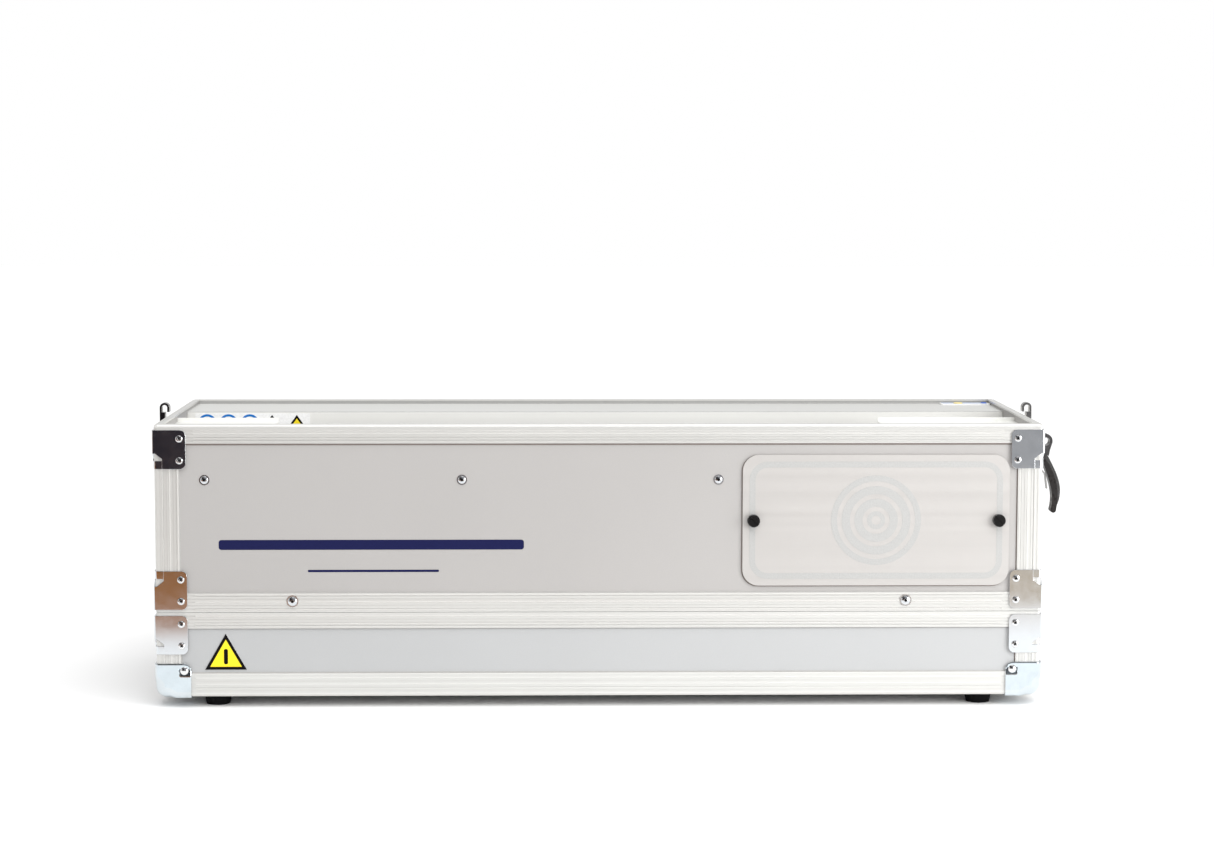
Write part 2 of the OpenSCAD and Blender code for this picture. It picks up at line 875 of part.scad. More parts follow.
module lever_plate(t) {
    translate([0, bar_y - t / 2, 0]) rotate([90, 0, 0]) translate([0, 0, -t])
        linear_extrude(t) children();
}

// Width of the bare metal band along the lever's outer edge, wide at the hub, none at the tip
function lever_band(s) = 3.6 * (1 - pow(s, 5)) + 5 * pow(max(0, 1 - s / 0.14), 2);

// The lever's core, bare along its outer edge
function lever_core_outline() = concat(
    [for (i = [0:lever_steps]) let (s = i / lever_steps)
        [lever_x(s) + lever_half(s) - 1.4 * pow(s, 5), lever_z(s)]],
    [for (i = [lever_steps:-1:0]) let (s = i / lever_steps)
        [lever_x(s) - lever_half(s) + 1.4, lever_z(s)]]
);

// The grip over the rest of the lever's width
function lever_grip_outline(s0) = concat(
    [for (i = [0:lever_steps]) let (s = s0 + (1 - s0) * i / lever_steps)
        [lever_x(s) + lever_half(s) - lever_band(s), lever_z(s)]],
    [for (i = [lever_steps:-1:0]) let (s = s0 + (1 - s0) * i / lever_steps)
        [lever_x(s) - lever_half(s), lever_z(s)]]
);

// The lever's head: hub on the pin and the ring above it that pushes the cam bar
module lever_head() {
    translate([pivot_x, pivot_z]) circle(hub_r);
    translate([pivot_x + ring_dx, pivot_z + ring_dz]) circle(ring_r);
    polygon([[pivot_x - 5, pivot_z + 1.6], [pivot_x + ring_dx - 7.4, pivot_z + ring_dz - 4],
        [pivot_x + ring_dx + 7.8, pivot_z + ring_dz - 3.6], [pivot_x + 9.6, pivot_z + 6],
        [pivot_x + 8.6, pivot_z], [pivot_x + 5, pivot_z + 1.4], [pivot_x, pivot_z - hub_r]]);
}

// Cast lever: the head, and a core for the grip
module clamp_lever() {
    color("dimgray") difference() {
        union() {
            lever_plate(lever_t) lever_head();
            lever_plate(lever_t - 3) polygon(lever_core_outline());
        }
        translate([pivot_x, bar_y - lever_t, pivot_z]) bore_y(lever_pin_r + 0.05, 2 * lever_t);
        translate([pivot_x + eye_dx, bar_y - lever_t, pivot_z + eye_dz])
            bore_y(eye_hole_r, 2 * lever_t);
    }
}

// Moulded grip over the inner part of the lever's core
module lever_grip() {
    color("black") difference() {
        union() {
            lever_plate(lever_t) polygon(lever_grip_outline(0.01));
            translate([lever_x(1), bar_y - lever_t / 2, lever_z(1)])
                bore_y(lever_half(1), lever_t);
        }
        lever_plate(lever_t - 3) polygon(lever_core_outline());
        lever_plate(lever_t + 2) lever_head();
        translate([pivot_x, bar_y - lever_t, pivot_z]) bore_y(hub_r + 0.3, 2 * lever_t);
    }
}

// Bracket plate with two ears and the hinge pin pressed through them
module lever_bracket() {
    ear = 3;
    gap = lever_t / 2 + 0.6;
    color("gray") {
        translate([panel_x, bar_y - 15, pivot_z - 22]) difference() {
            cube([3, 30, 45.5]);
            // Window that the lever's eye swings into
            translate([-1, 15 - lever_t / 2 - 0.6, 22 + bar_z - pivot_z - 12.5])
                cube([6, lever_t + 1.2, 17.5]);
            translate([-1, 15, 22 + bar_z - pivot_z]) bore_x(rod_r + 1.5, 6);
        }
        for (s = [-1, 1]) translate([panel_x + 3 - eps, bar_y + s * (gap + ear / 2) - ear / 2, 0])
        {
            translate([0, 0, pivot_z - ear_r]) cube([pivot_x - panel_x - 3, ear, 2 * ear_r]);
            translate([pivot_x - panel_x - 3, 0, pivot_z]) bore_y(ear_r, ear);
        }
        translate([pivot_x, bar_y - gap - ear - 1, pivot_z])
            bore_y(lever_pin_r, 2 * (gap + ear + 1));
    }
}

// Bent leaf that catches the lever in its lower place
module lever_catch_spring() {
    leaf = 1;
    points = [[panel_x + 3 + leaf, pivot_z - 8.5], [panel_x + 12, pivot_z - 10.5],
        [half_w + 16.4, pivot_z - 13], [half_w + 22.8, pivot_z - 21],
        [half_w + 25, pivot_z - 37]];
    color("silver") translate([0, bar_y - 4, 0]) rotate([90, 0, 0]) translate([0, 0, -8])
        linear_extrude(8) polygon(concat(
            points,
            [for (i = [len(points) - 1:-1:0]) [points[i][0] - leaf, points[i][1] - leaf]]
        ));
}

// ---------------------------------------------------------------- grinding unit

module guide_rods() {
    color("silver") for (s = [-1, 1])
        translate([-inner_x + 6, s * rod_y, rod_z]) bore_x(guide_r, 2 * inner_x - 12);
}

// Each block is bored for both guide rods and carries a tongue for one pulley
module rod_end_block() {
    difference() {
        translate([-inner_x, -rod_y - 22, rod_z - 22]) cube([block_t, 2 * rod_y + 44, 44]);
        for (s = [-1, 1])
            translate([-inner_x + 5, s * rod_y, rod_z]) bore_x(guide_r + 0.05, block_t + 2);
    }
    translate([-inner_x + block_t - eps, 10, rod_z - 10])
        cube([inner_x - block_t - pulley_x + 10, 4, 20]);
}

module rod_end_blocks() {
    color("darkgray") {
        difference() {
            both_ends() rod_end_block();
            // Clearance for the motor's shaft
            translate([-pulley_x, 0, rod_z]) bore_y(axle_r + 1, 20);
        }
        // The idler's axle
        translate([pulley_x, -8, rod_z]) bore_y(axle_r, 20);
    }
}

module drive_motor() {
    color("dimgray") {
        difference() {
            union() {
                translate([-pulley_x, 14, rod_z]) bore_y(21, 58);
                translate([-pulley_x - 21, 40, rod_z - 21]) cube([42, 20, 21]);
            }
            translate([-pulley_x, 13, rod_z]) bore_y(axle_r + 0.05, 16);
        }
    }
}

// Toothed pulley with two flanges
module belt_pulley() {
    translate([0, -6, 0]) bore_y(pulley_r - 1, 12);
    for (y = [-7, 6]) translate([0, y, 0]) bore_y(pulley_r + 2, 1);
    for (i = [0:15]) rotate([0, i * 22.5, 0]) translate([-0.9, -6, pulley_r - 1.5])
        cube([1.8, 12, 1.2]);
}

// Fixed on the motor's shaft
module drive_pulley() {
    color("gainsboro") translate([-pulley_x, 0, rod_z]) {
        belt_pulley();
        translate([0, -8, 0]) bore_y(axle_r, 34);
    }
}

// Bored to run on the right block's axle
module idler_pulley() {
    color("gainsboro") translate([pulley_x, 0, rod_z]) difference() {
        belt_pulley();
        translate([0, -8, 0]) bore_y(axle_r + 0.05, 16);
    }
}

// Closed belt round both pulleys
module drive_belt() {
    inner = pulley_r + 0.1;
    outer = inner + 1.6;
    color("black") translate([0, -5, rod_z]) wall_plate(10) difference() {
        slot_2d(2 * pulley_x + 2 * outer, outer);
        slot_2d(2 * pulley_x + 2 * inner, inner);
    }
}

// Plate on four bearing housings, with a clevis for the arm and a clamp on the belt
module carriage() {
    belt_top = rod_z + pulley_r + 1.7;
    belt_low = rod_z + pulley_r + 0.1;
    color("gray") {
        difference() {
            translate([park_x - carriage_half, -rod_y - 18, carriage_z])
                cube([2 * carriage_half, 2 * rod_y + 36, carriage_t]);
            // Well for the wheel
            translate([park_x - 45, -16, carriage_z - 1]) cube([90, 23, carriage_t + 2]);
        }
        for (sx = [-1, 1]) for (sy = [-1, 1]) difference() {
            translate([park_x + sx * 65 - 25, sy * rod_y - 16, rod_z - 16])
                cube([50, 32, carriage_z - rod_z + 16 + eps]);
            translate([park_x + sx * 65 - 26, sy * rod_y, rod_z]) bore_x(guide_r + 0.08, 52);
        }
        // Clevis and its pin
        for (y = [-1, 15.4]) {
            translate([arm_x - 11, y, carriage_z + carriage_t - eps])
                cube([22, 7.6, arm_z - carriage_z - carriage_t + eps]);
            translate([arm_x, y, arm_z]) bore_y(11, 7.6);
        }
        translate([arm_x, -1, arm_z]) bore_y(5, 24);
        // Loop round the belt's upper run
        for (y = [-8.4, 5.4]) translate([park_x + 58, y, belt_low - 3.3])
            cube([32, 3, carriage_z - belt_low + 3.3 + eps]);
        translate([park_x + 58, -8.4, belt_low - 3.3]) cube([32, 16.8, 3]);
        // Rest for the motor
        translate([park_x - 10, 55, carriage_z + carriage_t - eps])
            cube([20, 30, wheel_z - motor_r - 0.4 - carriage_z - carriage_t]);
    }
}

// Swinging plate between the wheel and its motor
module grinding_arm() {
    dx = park_x - arm_x;
    dz = wheel_z - arm_z;
    color("silver") translate([0, arm_y, 0]) difference() {
        wall_plate(arm_t) {
            translate([arm_x, arm_z]) circle(10);
            translate([park_x, wheel_z]) circle(motor_r + 1);
            polygon([[arm_x, arm_z - 10], [arm_x + dx * 0.86, wheel_z - motor_r],
                [arm_x + dx * 0.86, wheel_z + motor_r], [arm_x - 1, arm_z + 10]]);
        }
        translate([arm_x, -1, arm_z]) bore_y(5.05, arm_t + 2);
        translate([park_x, -1, wheel_z]) bore_y(9, arm_t + 2);
    }
}

module grinding_motor() {
    color("dimgray") translate([park_x, arm_y + arm_t, wheel_z]) difference() {
        union() {
            bore_y(motor_r, motor_len - 14);
            translate([0, motor_len - 14, 0]) bore_y(motor_r - 4, 14);
        }
        translate([0, -1, 0]) bore_y(spindle_r + 0.05, 13);
    }
}

module grinding_wheel() {
    color("lightpink") translate([park_x, -wheel_t / 2, wheel_z]) difference() {
        bore_y(wheel_r, wheel_t);
        translate([0, -1, 0]) bore_y(spindle_r + 0.05, wheel_t + 2);
    }
}

// Motor shaft end with the two flanges and the nut that hold the wheel
module wheel_spindle() {
    color("silver") translate([park_x, 0, wheel_z]) {
        translate([0, -wheel_t / 2 - 11, 0]) bore_y(spindle_r, wheel_t / 2 + 11 + arm_y + arm_t + 10);
        translate([0, wheel_t / 2, 0]) bore_y(14, 2.5);
        translate([0, -wheel_t / 2 - 2.5, 0]) bore_y(14, 2.5);
        translate([0, -wheel_t / 2 - 9, 0]) rotate([-90, 0, 0])
            cylinder(r = 9.5, h = 6.5 + eps, $fn = 6);
    }
}

// ---------------------------------------------------------------- end latches

// Children drawn for the right end in (u, y, z), u outward from the end panel's face
module at_right_end() {
    translate([panel_x, 0, 0]) children();
}

module at_left_end() {
    mirror([1, 0, 0]) translate([panel_x, 0, 0]) children();
}

module latch_base() {
    translate([0, -14, latch_pivot_z - 16]) cube([2, 28, 48]);
    for (s = [-1, 1]) translate([2 - eps, s * 11 - 1, 0]) {
        translate([0, 0, latch_pivot_z - 5]) cube([latch_pivot_u - 2, 2, 10]);
        translate([latch_pivot_u - 2, 0, latch_pivot_z]) bore_y(5, 2);
    }
    translate([latch_pivot_u, -13, latch_pivot_z]) bore_y(2, 26);
}

module latch_bases() {
    color("silver") {
        at_right_end() latch_base();
        at_left_end() latch_base();
    }
}

// Toggle lever: knuckle on the base's pin, cheeks that hold the hook's pin, finger plate
module latch_lever() {
    difference() {
        union() {
            translate([latch_pivot_u, -9, latch_pivot_z]) bore_y(4, 18);
            translate([latch_pivot_u + 1, -9, latch_pivot_z - 32]) cube([2.5, 18, 32]);
            translate([latch_pivot_u + 1, -9, latch_pivot_z - 32]) rotate([0, -35, 0])
                translate([0, 0, -7]) cube([2.5, 18, 8]);
            for (s = [-1, 1]) translate([0, s * 7.5 - 1.5, 0]) {
                translate([crank_u, 0, crank_z]) bore_y(crank_cheek_r, 3);
                translate([latch_pivot_u, 0, crank_z - 3]) cube([crank_u - latch_pivot_u, 3, 6.6]);
            }
        }
        translate([latch_pivot_u, -10, latch_pivot_z]) bore_y(2.05, 20);
        translate([crank_u - 3.8, -5.9, crank_z - 3.9]) cube([8, 11.8, 12]);
    }
    translate([crank_u, -9, crank_z]) bore_y(1.6, 18);
}

module latch_lever_left() {
    color("silver") at_left_end() latch_lever();
}

module latch_lever_right() {
    color("silver") at_right_end() latch_lever();
}

// Strap on the lever's pin, curled over at the top to catch the lid's keeper
module latch_hook() {
    strap_u = hook_u + hook_r - hook_sheet;
    difference() {
        union() {
            translate([crank_u, -hook_half_w, crank_z]) bore_y(3, 2 * hook_half_w);
            translate([crank_u - 1.1, -hook_half_w, crank_z]) cube([3.1, 2 * hook_half_w, 5]);
            translate([strap_u, -hook_half_w, crank_z + 2])
                cube([hook_sheet, 2 * hook_half_w, hook_arch_z - crank_z - 2]);
            // Thick shoulder of the strap, beside the rim
            translate([strap_u - 3.6, -hook_half_w, z_rim - 24])
                cube([3.6 + eps, 2 * hook_half_w, 23]);
            translate([hook_u - hook_r, -hook_half_w, hook_arch_z - 5])
                cube([hook_sheet, 2 * hook_half_w, 5]);
            intersection() {
                translate([hook_u, -hook_half_w, hook_arch_z]) difference() {
                    bore_y(hook_r, 2 * hook_half_w);
                    translate([0, -1, 0]) bore_y(hook_r - hook_sheet, 2 * hook_half_w + 2);
                }
                translate([0, -10, hook_arch_z - eps]) cube([30, 20, 10]);
            }
        }
        translate([crank_u, -10, crank_z]) bore_y(1.65, 20);
    }
}

module latch_hook_left() {
    color("silver") at_left_end() latch_hook();
}

module latch_hook_right() {
    color("silver") at_right_end() latch_hook();
}

// ---------------------------------------------------------------- end handles

module handle_plate() {
    translate([0, -handle_half - 14, handle_z - 52]) cube([2, 2 * handle_half + 28, 64]);
    for (s = [-1, 1]) difference() {
        union() {
            translate([2 - eps, s * (handle_half + 8) - 4, handle_z - 5.5])
                cube([handle_u - 2, 8, 11]);
            translate([handle_u, s * (handle_half + 8) - 4, handle_z]) bore_y(5.5, 8);
        }
        translate([handle_u, s * (handle_half + 8) - 5, handle_z]) bore_y(3.05, 10);
    }
}

module handle_plates() {
    color("silver") {
        at_right_end() handle_plate();
        at_left_end() handle_plate();
    }
}

// Bail: two arms hanging from stub pins, joined by a grip
module carry_handle() {
    for (s = [-1, 1]) {
        translate([handle_u, s * (handle_half - 3.5) - 3.5, handle_z]) bore_y(5, 7);
        translate([handle_u - 4, s * (handle_half - 3.5) - 3.5, handle_z - handle_drop])
            cube([8, 7, handle_drop]);
        translate([handle_u, s > 0 ? handle_half : -handle_half - 11, handle_z]) bore_y(3, 11);
    }
    translate([handle_u, -handle_half, handle_z - handle_drop]) bore_y(5.2, 2 * handle_half);
    translate([handle_u + 0.6, -handle_half + 9, handle_z - handle_drop])
        bore_y(6, 2 * handle_half - 18);
}

module carry_handle_left() {
    color("black") at_left_end() carry_handle();
}

module carry_handle_right() {
    color("black") at_right_end() carry_handle();
}

// ---------------------------------------------------------------- rear connections

// Snap-in mains inlet with three blades in its socket, and a frame round the rocker
module power_inlet() {
    color("black") translate([rocker_x, panel_y, inlet_z]) difference() {
        union() {
            translate([0, 2, 0]) rotate([90, 0, 0]) linear_extrude(2) rounded_rect(24, 30, 3);
            translate([-9, -12, -12.5]) cube([18, 12.5, 25]);
        }
        translate([-6.8, -13, -10.3]) cube([13.6, 16, 20.6]);
        translate([-10, rocker_pin_y, 0]) bore_x(rocker_pin_r + 0.05, 20);
    }
    color("black") translate([inlet_x, panel_y, inlet_z]) {
        difference() {
            union() {
                translate([0, 2, 0]) rotate([90, 0, 0]) linear_extrude(2) rounded_rect(40, 30, 3);
                translate([-14, -24, -12]) cube([28, 24.5, 24]);
            }
            translate([-12, -16, -8]) cube([24, 20, 16]);
        }
        for (dx = [-7, 0, 7]) translate([dx - 1, -16 - eps, dx == 0 ? 1 : -3]) cube([2, 12, 4]);
    }
}

// Two-way rocker on a pin through the frame's sides
module power_rocker() {
    color("firebrick") translate([rocker_x, panel_y, inlet_z]) {
        intersection() {
            translate([-6, -11, -9]) cube([12, 14, 18]);
            translate([-8, -14, 0]) bore_x(16.6, 16);
        }
        translate([-8.8, rocker_pin_y, 0]) bore_x(rocker_pin_r, 17.6);
    }
}

// Flanged spigot for a suction hose, open right through
module dust_port() {
    color("dimgray") translate([port_x, 0, port_z]) difference() {
        union() {
            translate([0, inner_y - 26, 0]) bore_y(port_r + 3, panel_t + 28);
            translate([0, panel_y, 0]) bore_y(port_r + 9, 2);
        }
        translate([0, inner_y - 27, 0]) bore_y(port_r, panel_t + 32);
    }
}

// ---------------------------------------------------------------- nodes

at_case() {
    base_floor();
    base_front_panel();
    base_rear_panel();
    base_end_panels();
    base_bottom_rails();
    base_top_rails();
    base_corner_posts();
    ball_corners();
    base_corner_braces();
    rubber_feet();
    upper_front_panel();
    upper_rear_panel();
    upper_end_panels();
    upper_bottom_rails();
    upper_top_rails();
    upper_corner_posts();
    upper_corner_braces();
    brace_rivets();
    case_screws();
    safety_labels();
    rear_deck();
    front_deck();
    front_left_deck();
    front_right_deck();
    control_panel();
    start_button();
    stop_button();
    access_cover();
    thumb_screw_left();
    thumb_screw_right();
    clamp_plate();
    fixed_jaw();
    moving_jaw();
    clamp_bar();
    clamp_lever();
    lever_grip();
    lever_bracket();
    lever_catch_spring();
    guide_rods();
    rod_end_blocks();
    drive_motor();
    drive_pulley();
    idler_pulley();
    drive_belt();
    carriage();
    grinding_arm();
    grinding_motor();
    grinding_wheel();
    wheel_spindle();
    latch_bases();
    latch_lever_left();
    latch_lever_right();
    latch_hook_left();
    latch_hook_right();
    handle_plates();
    carry_handle_left();
    carry_handle_right();
    power_inlet();
    power_rocker();
    dust_port();
}
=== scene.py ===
"""Looks for the portable skate sharpener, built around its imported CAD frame.

Places are given in millimetres from the middle of the case on the floor, as in part.scad,
and at() turns them into the frame's metres.
"""

import json
import math

import bmesh
import bpy
from mathutils import Matrix, Vector

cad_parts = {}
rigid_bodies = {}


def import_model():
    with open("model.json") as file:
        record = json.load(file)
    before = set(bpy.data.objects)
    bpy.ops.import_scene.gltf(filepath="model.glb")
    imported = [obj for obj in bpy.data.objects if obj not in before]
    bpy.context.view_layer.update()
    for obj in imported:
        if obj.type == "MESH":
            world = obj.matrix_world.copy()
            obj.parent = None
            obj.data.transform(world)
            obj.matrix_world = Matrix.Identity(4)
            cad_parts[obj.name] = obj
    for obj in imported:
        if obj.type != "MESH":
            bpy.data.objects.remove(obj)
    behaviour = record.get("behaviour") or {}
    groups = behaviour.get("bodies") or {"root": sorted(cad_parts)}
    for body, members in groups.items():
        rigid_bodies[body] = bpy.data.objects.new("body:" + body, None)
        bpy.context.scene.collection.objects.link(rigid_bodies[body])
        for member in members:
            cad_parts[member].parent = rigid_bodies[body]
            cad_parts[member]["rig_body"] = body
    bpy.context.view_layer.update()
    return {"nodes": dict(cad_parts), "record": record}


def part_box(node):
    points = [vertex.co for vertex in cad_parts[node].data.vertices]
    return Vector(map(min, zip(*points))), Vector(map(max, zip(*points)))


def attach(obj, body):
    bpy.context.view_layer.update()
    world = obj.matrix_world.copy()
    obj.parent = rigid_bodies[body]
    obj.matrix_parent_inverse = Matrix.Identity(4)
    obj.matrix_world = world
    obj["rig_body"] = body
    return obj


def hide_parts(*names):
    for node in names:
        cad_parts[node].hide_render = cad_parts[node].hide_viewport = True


MM = 0.001

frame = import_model()
nodes = frame["nodes"]

rim_low, rim_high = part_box("upper_top_rails")
CASE_X = (rim_low.x + rim_high.x) / 2
CASE_Y = (rim_low.y + rim_high.y) / 2
HALF_W = (rim_high.x - rim_low.x) / 2 / MM
HALF_D = (rim_high.y - rim_low.y) / 2 / MM
RIM_Z = rim_high.z / MM
CASE_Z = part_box("base_bottom_rails")[0].z / MM
SEAM_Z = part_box("base_top_rails")[1].z / MM
PANEL_Y = (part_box("upper_front_panel")[0].y - CASE_Y) / MM
COVER_Y = (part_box("access_cover")[0].y - CASE_Y) / MM
COVER_LOW, COVER_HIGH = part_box("access_cover")
CHANNEL_Y = (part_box("rear_deck")[0].y - CASE_Y) / MM
DECK_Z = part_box("rear_deck")[1].z / MM


def at(x, y, z):
    """Millimetres from the case's middle on the floor, as a point in the frame."""
    return Vector((CASE_X + x * MM, CASE_Y + y * MM, z * MM))


def add_object(name, data):
    obj = bpy.data.objects.new(name, data)
    bpy.context.scene.collection.objects.link(obj)
    return obj


# ---------------------------------------------------------------- camera and stage

CAMERA_PLACE = at(-58.4, -3171.8, 588.8)
CAMERA_YAW = math.radians(1.263)
CAMERA_PITCH = math.radians(5.338)
CAMERA_ROLL = math.radians(0.075)
CAMERA_LENS, SENSOR_WIDTH = 81.56, 36.0


def make_camera():
    data = bpy.data.cameras.new("camera")
    data.lens = CAMERA_LENS
    data.sensor_width = SENSOR_WIDTH
    data.clip_end = 60.0
    camera = add_object("camera", data)
    turn = (
        Matrix.Rotation(-CAMERA_YAW, 4, "Z")
        @ Matrix.Rotation(math.pi / 2 - CAMERA_PITCH, 4, "X")
        @ Matrix.Rotation(CAMERA_ROLL, 4, "Z")
    )
    camera.matrix_world = Matrix.Translation(CAMERA_PLACE) @ turn
    bpy.context.scene.camera = camera


def aimed(name, data, place, target):
    light = add_object(name, data)
    light.location = place
    light.rotation_euler = (target - place).to_track_quat("-Z", "Y").to_euler()
    return light


def make_light(name, place, target, size, power):
    """A soft rectangular light that the camera doesn't see; size in metres"""
    data = bpy.data.lights.new(name, "AREA")
    data.shape = "RECTANGLE"
    data.size, data.size_y = size
    data.energy = power
    aimed(name, data, place, target).visible_camera = False


def make_sun(name, place, target, width, power):
    """A wide, soft light from far off; width in degrees"""
    data = bpy.data.lights.new(name, "SUN")
    data.energy = power
    data.angle = math.radians(width)
    aimed(name, data, place, target)


# ---------------------------------------------------------------- node helpers


# Sockets of a colour mix node
MIX_FACTOR, MIX_LOW, MIX_HIGH, MIX_RESULT = 0, 6, 7, 2


class Shader:
    """A small builder for one procedural material."""

    def __init__(self, name):
        self.material = bpy.data.materials.new(name)
        self.material.use_nodes = True
        self.tree = self.material.node_tree
        self.tree.nodes.clear()
        self.output = self.tree.nodes.new("ShaderNodeOutputMaterial")
        self.bsdf = self.tree.nodes.new("ShaderNodeBsdfPrincipled")
        self.link(self.bsdf.outputs[0], self.output.inputs["Surface"])
        self.place = self.tree.nodes.new("ShaderNodeTexCoord").outputs["Object"]

    def link(self, source, target):
        self.tree.links.new(source, target)

    def set(self, **values):
        for key, value in values.items():
            socket = self.bsdf.inputs[key.replace("_", " ").title().replace("Ior", "IOR")]
            if hasattr(socket.default_value, "__len__") and len(value) == 3:
                value = (*value, 1.0)
            socket.default_value = value
        return self

    def noise(self, scale, detail=3.0, stretch=None, roughness=0.5, distortion=0.0):
        vector = self.place
        if stretch:
            mapping = self.tree.nodes.new("ShaderNodeMapping")
            mapping.inputs["Scale"].default_value = stretch
            self.link(vector, mapping.inputs["Vector"])
            vector = mapping.outputs[0]
        node = self.tree.nodes.new("ShaderNodeTexNoise")
        node.inputs["Scale"].default_value = scale
        node.inputs["Detail"].default_value = detail
        node.inputs["Roughness"].default_value = roughness
        node.inputs["Distortion"].default_value = distortion
        self.link(vector, node.inputs["Vector"])
        return node.outputs["Fac"]

    def cells(self, scale):
        node = self.tree.nodes.new("ShaderNodeTexVoronoi")
        node.inputs["Scale"].default_value = scale
        self.link(self.place, node.inputs["Vector"])
        return node.outputs["Distance"]

    def ramp(self, factor, stops):
        """stops: (place, colour or grey value) pairs"""
        node = self.tree.nodes.new("ShaderNodeValToRGB")
        elements = node.color_ramp.elements
        while len(elements) < len(stops):
            elements.new(0.5)
        for element, (place, value) in zip(elements, stops):
            element.position = place
            if not hasattr(value, "__len__"):
                value = (value, value, value)
            element.color = (*value, 1.0)
        self.link(factor, node.inputs["Fac"])
        return node.outputs["Color"]

    def mix(self, factor, low, high):
        node = self.tree.nodes.new("ShaderNodeMix")
        node.data_type = "RGBA"
        for socket, value in ((MIX_FACTOR, factor), (MIX_LOW, low), (MIX_HIGH, high)):
            if hasattr(value, "is_linked"):
                self.link(value, node.inputs[socket])
            elif socket == MIX_FACTOR:
                node.inputs[socket].default_value = value
            else:
                node.inputs[socket].default_value = (*value, 1.0)
        return node.outputs[MIX_RESULT]

    def along(self, axis, low, high):
        """0 to 1 from low to high along an axis of the object, in metres"""
        split = self.tree.nodes.new("ShaderNodeSeparateXYZ")
        self.link(self.place, split.inputs[0])
        scaled = self.tree.nodes.new("ShaderNodeMapRange")
        scaled.inputs["From Min"].default_value = low
        scaled.inputs["From Max"].default_value = high
        self.link(split.outputs[axis], scaled.inputs["Value"])
        return scaled.outputs["Result"]

    def color(self, source):
        self.link(source, self.bsdf.inputs["Base Color"])
        return self

    def rough(self, factor, low, high):
        self.link(self.ramp(factor, [(0.3, low), (0.7, high)]), self.bsdf.inputs["Roughness"])
        return self

    def bump(self, height, depth):
        """depth in millimetres"""
        node = self.tree.nodes.new("ShaderNodeBump")
        node.inputs["Distance"].default_value = depth * MM
        node.inputs["Strength"].default_value = 1.0
        self.link(height, node.inputs["Height"])
        self.link(node.outputs[0], self.bsdf.inputs["Normal"])
        return self


def shade(color, k):
    """A colour k times as bright"""
    return tuple(min(1.0, c * k) for c in color)


# ---------------------------------------------------------------- materials


def laminate(name, color):
    s = Shader(name).set(specular_ior_level=0.35)
    cloud = s.noise(3.0, 2.0)
    fleck = s.noise(900.0, 4.0, roughness=0.7)
    tone = s.ramp(cloud, [(0.35, shade(color, 0.97)), (0.65, shade(color, 1.03))])
    spot = s.ramp(fleck, [(0.38, shade(color, 0.93)), (0.55, color), (0.75, shade(color, 1.05))])
    s.color(s.mix(0.35, tone, spot))
    s.rough(s.noise(260.0), 0.36, 0.50)
    return s.bump(fleck, 0.03).material


# How the grain of drawn metal is stretched: along the rails and up the posts
ALONG = (0.02, 0.02, 4.0)
UPRIGHT = (4.0, 4.0, 0.02)


def anodised(name, color, rough=0.34, metal=0.75, grain=ALONG):
    s = Shader(name).set(metallic=metal)
    streak = s.noise(30.0, 1.0, stretch=grain)
    cloud = s.noise(6.0, 2.0)
    s.color(
        s.mix(
            0.4,
            s.ramp(streak, [(0.3, shade(color, 0.96)), (0.7, shade(color, 1.03))]),
            s.ramp(cloud, [(0.35, shade(color, 0.97)), (0.65, shade(color, 1.02))]),
        )
    )
    s.rough(streak, rough - 0.06, rough + 0.08)
    return s.bump(streak, 0.004).material


def plated(name, color, rough=0.12, wear=0.06, scuff=0.006):
    s = Shader(name).set(metallic=1.0)
    smudge = s.noise(70.0, 5.0, roughness=0.6, distortion=0.4)
    scratch = s.noise(260.0, 2.0, stretch=(0.25, 0.25, 6.0))
    s.color(s.ramp(smudge, [(0.3, shade(color, 0.92)), (0.6, color), (0.8, shade(color, 1.05))]))
    s.rough(smudge, rough, rough + wear)
    return s.bump(s.mix(0.5, (0.5, 0.5, 0.5), scratch), scuff).material


def machined(name, color, rough=0.3):
    s = Shader(name).set(metallic=0.95)
    lines = s.noise(120.0, 3.0, stretch=(0.4, 14.0, 14.0))
    s.color(s.ramp(lines, [(0.3, shade(color, 0.86)), (0.7, shade(color, 1.08))]))
    s.rough(lines, rough - 0.06, rough + 0.12)
    return s.bump(lines, 0.02).material


def moulded(name, color, rough=0.45, gloss=0.5):
    s = Shader(name).set(specular_ior_level=gloss)
    tone = s.noise(40.0, 3.0)
    s.color(s.ramp(tone, [(0.3, shade(color, 0.8)), (0.7, shade(color, 1.25))]))
    s.rough(s.noise(220.0), rough - 0.08, rough + 0.1)
    return s.bump(s.noise(1400.0, 2.0), 0.02).material


def rubber(name, color):
    s = Shader(name).set(specular_ior_level=0.1)
    dust = s.noise(90.0, 5.0)
    s.color(s.ramp(dust, [(0.4, color), (0.8, shade(color, 1.8))]))
    s.rough(dust, 0.7, 0.9)
    return s.bump(s.noise(900.0, 3.0), 0.05).material


def painted(name, color):
    s = Shader(name).set(coat_weight=0.2, coat_roughness=0.25)
    peel = s.noise(500.0, 2.0)
    s.color(s.ramp(s.noise(25.0), [(0.35, shade(color, 0.9)), (0.65, shade(color, 1.12))]))
    s.rough(peel, 0.35, 0.48)
    return s.bump(peel, 0.03).material


def abrasive(name, color):
    s = Shader(name).set(specular_ior_level=0.4)
    grit = s.cells(1600.0)
    s.color(s.ramp(grit, [(0.0, shade(color, 1.25)), (0.35, color), (0.8, shade(color, 0.6))]))
    s.rough(s.noise(800.0), 0.75, 0.95)
    return s.bump(grit, 0.15).material


def ink(name, color, rough=0.45, gloss=0.3):
    s = Shader(name).set(specular_ior_level=gloss)
    dots = s.noise(700.0, 2.0)
    s.color(s.ramp(dots, [(0.35, shade(color, 0.95)), (0.65, shade(color, 1.05))]))
    s.rough(dots, rough - 0.06, rough + 0.08)
    return s.bump(dots, 0.01).material


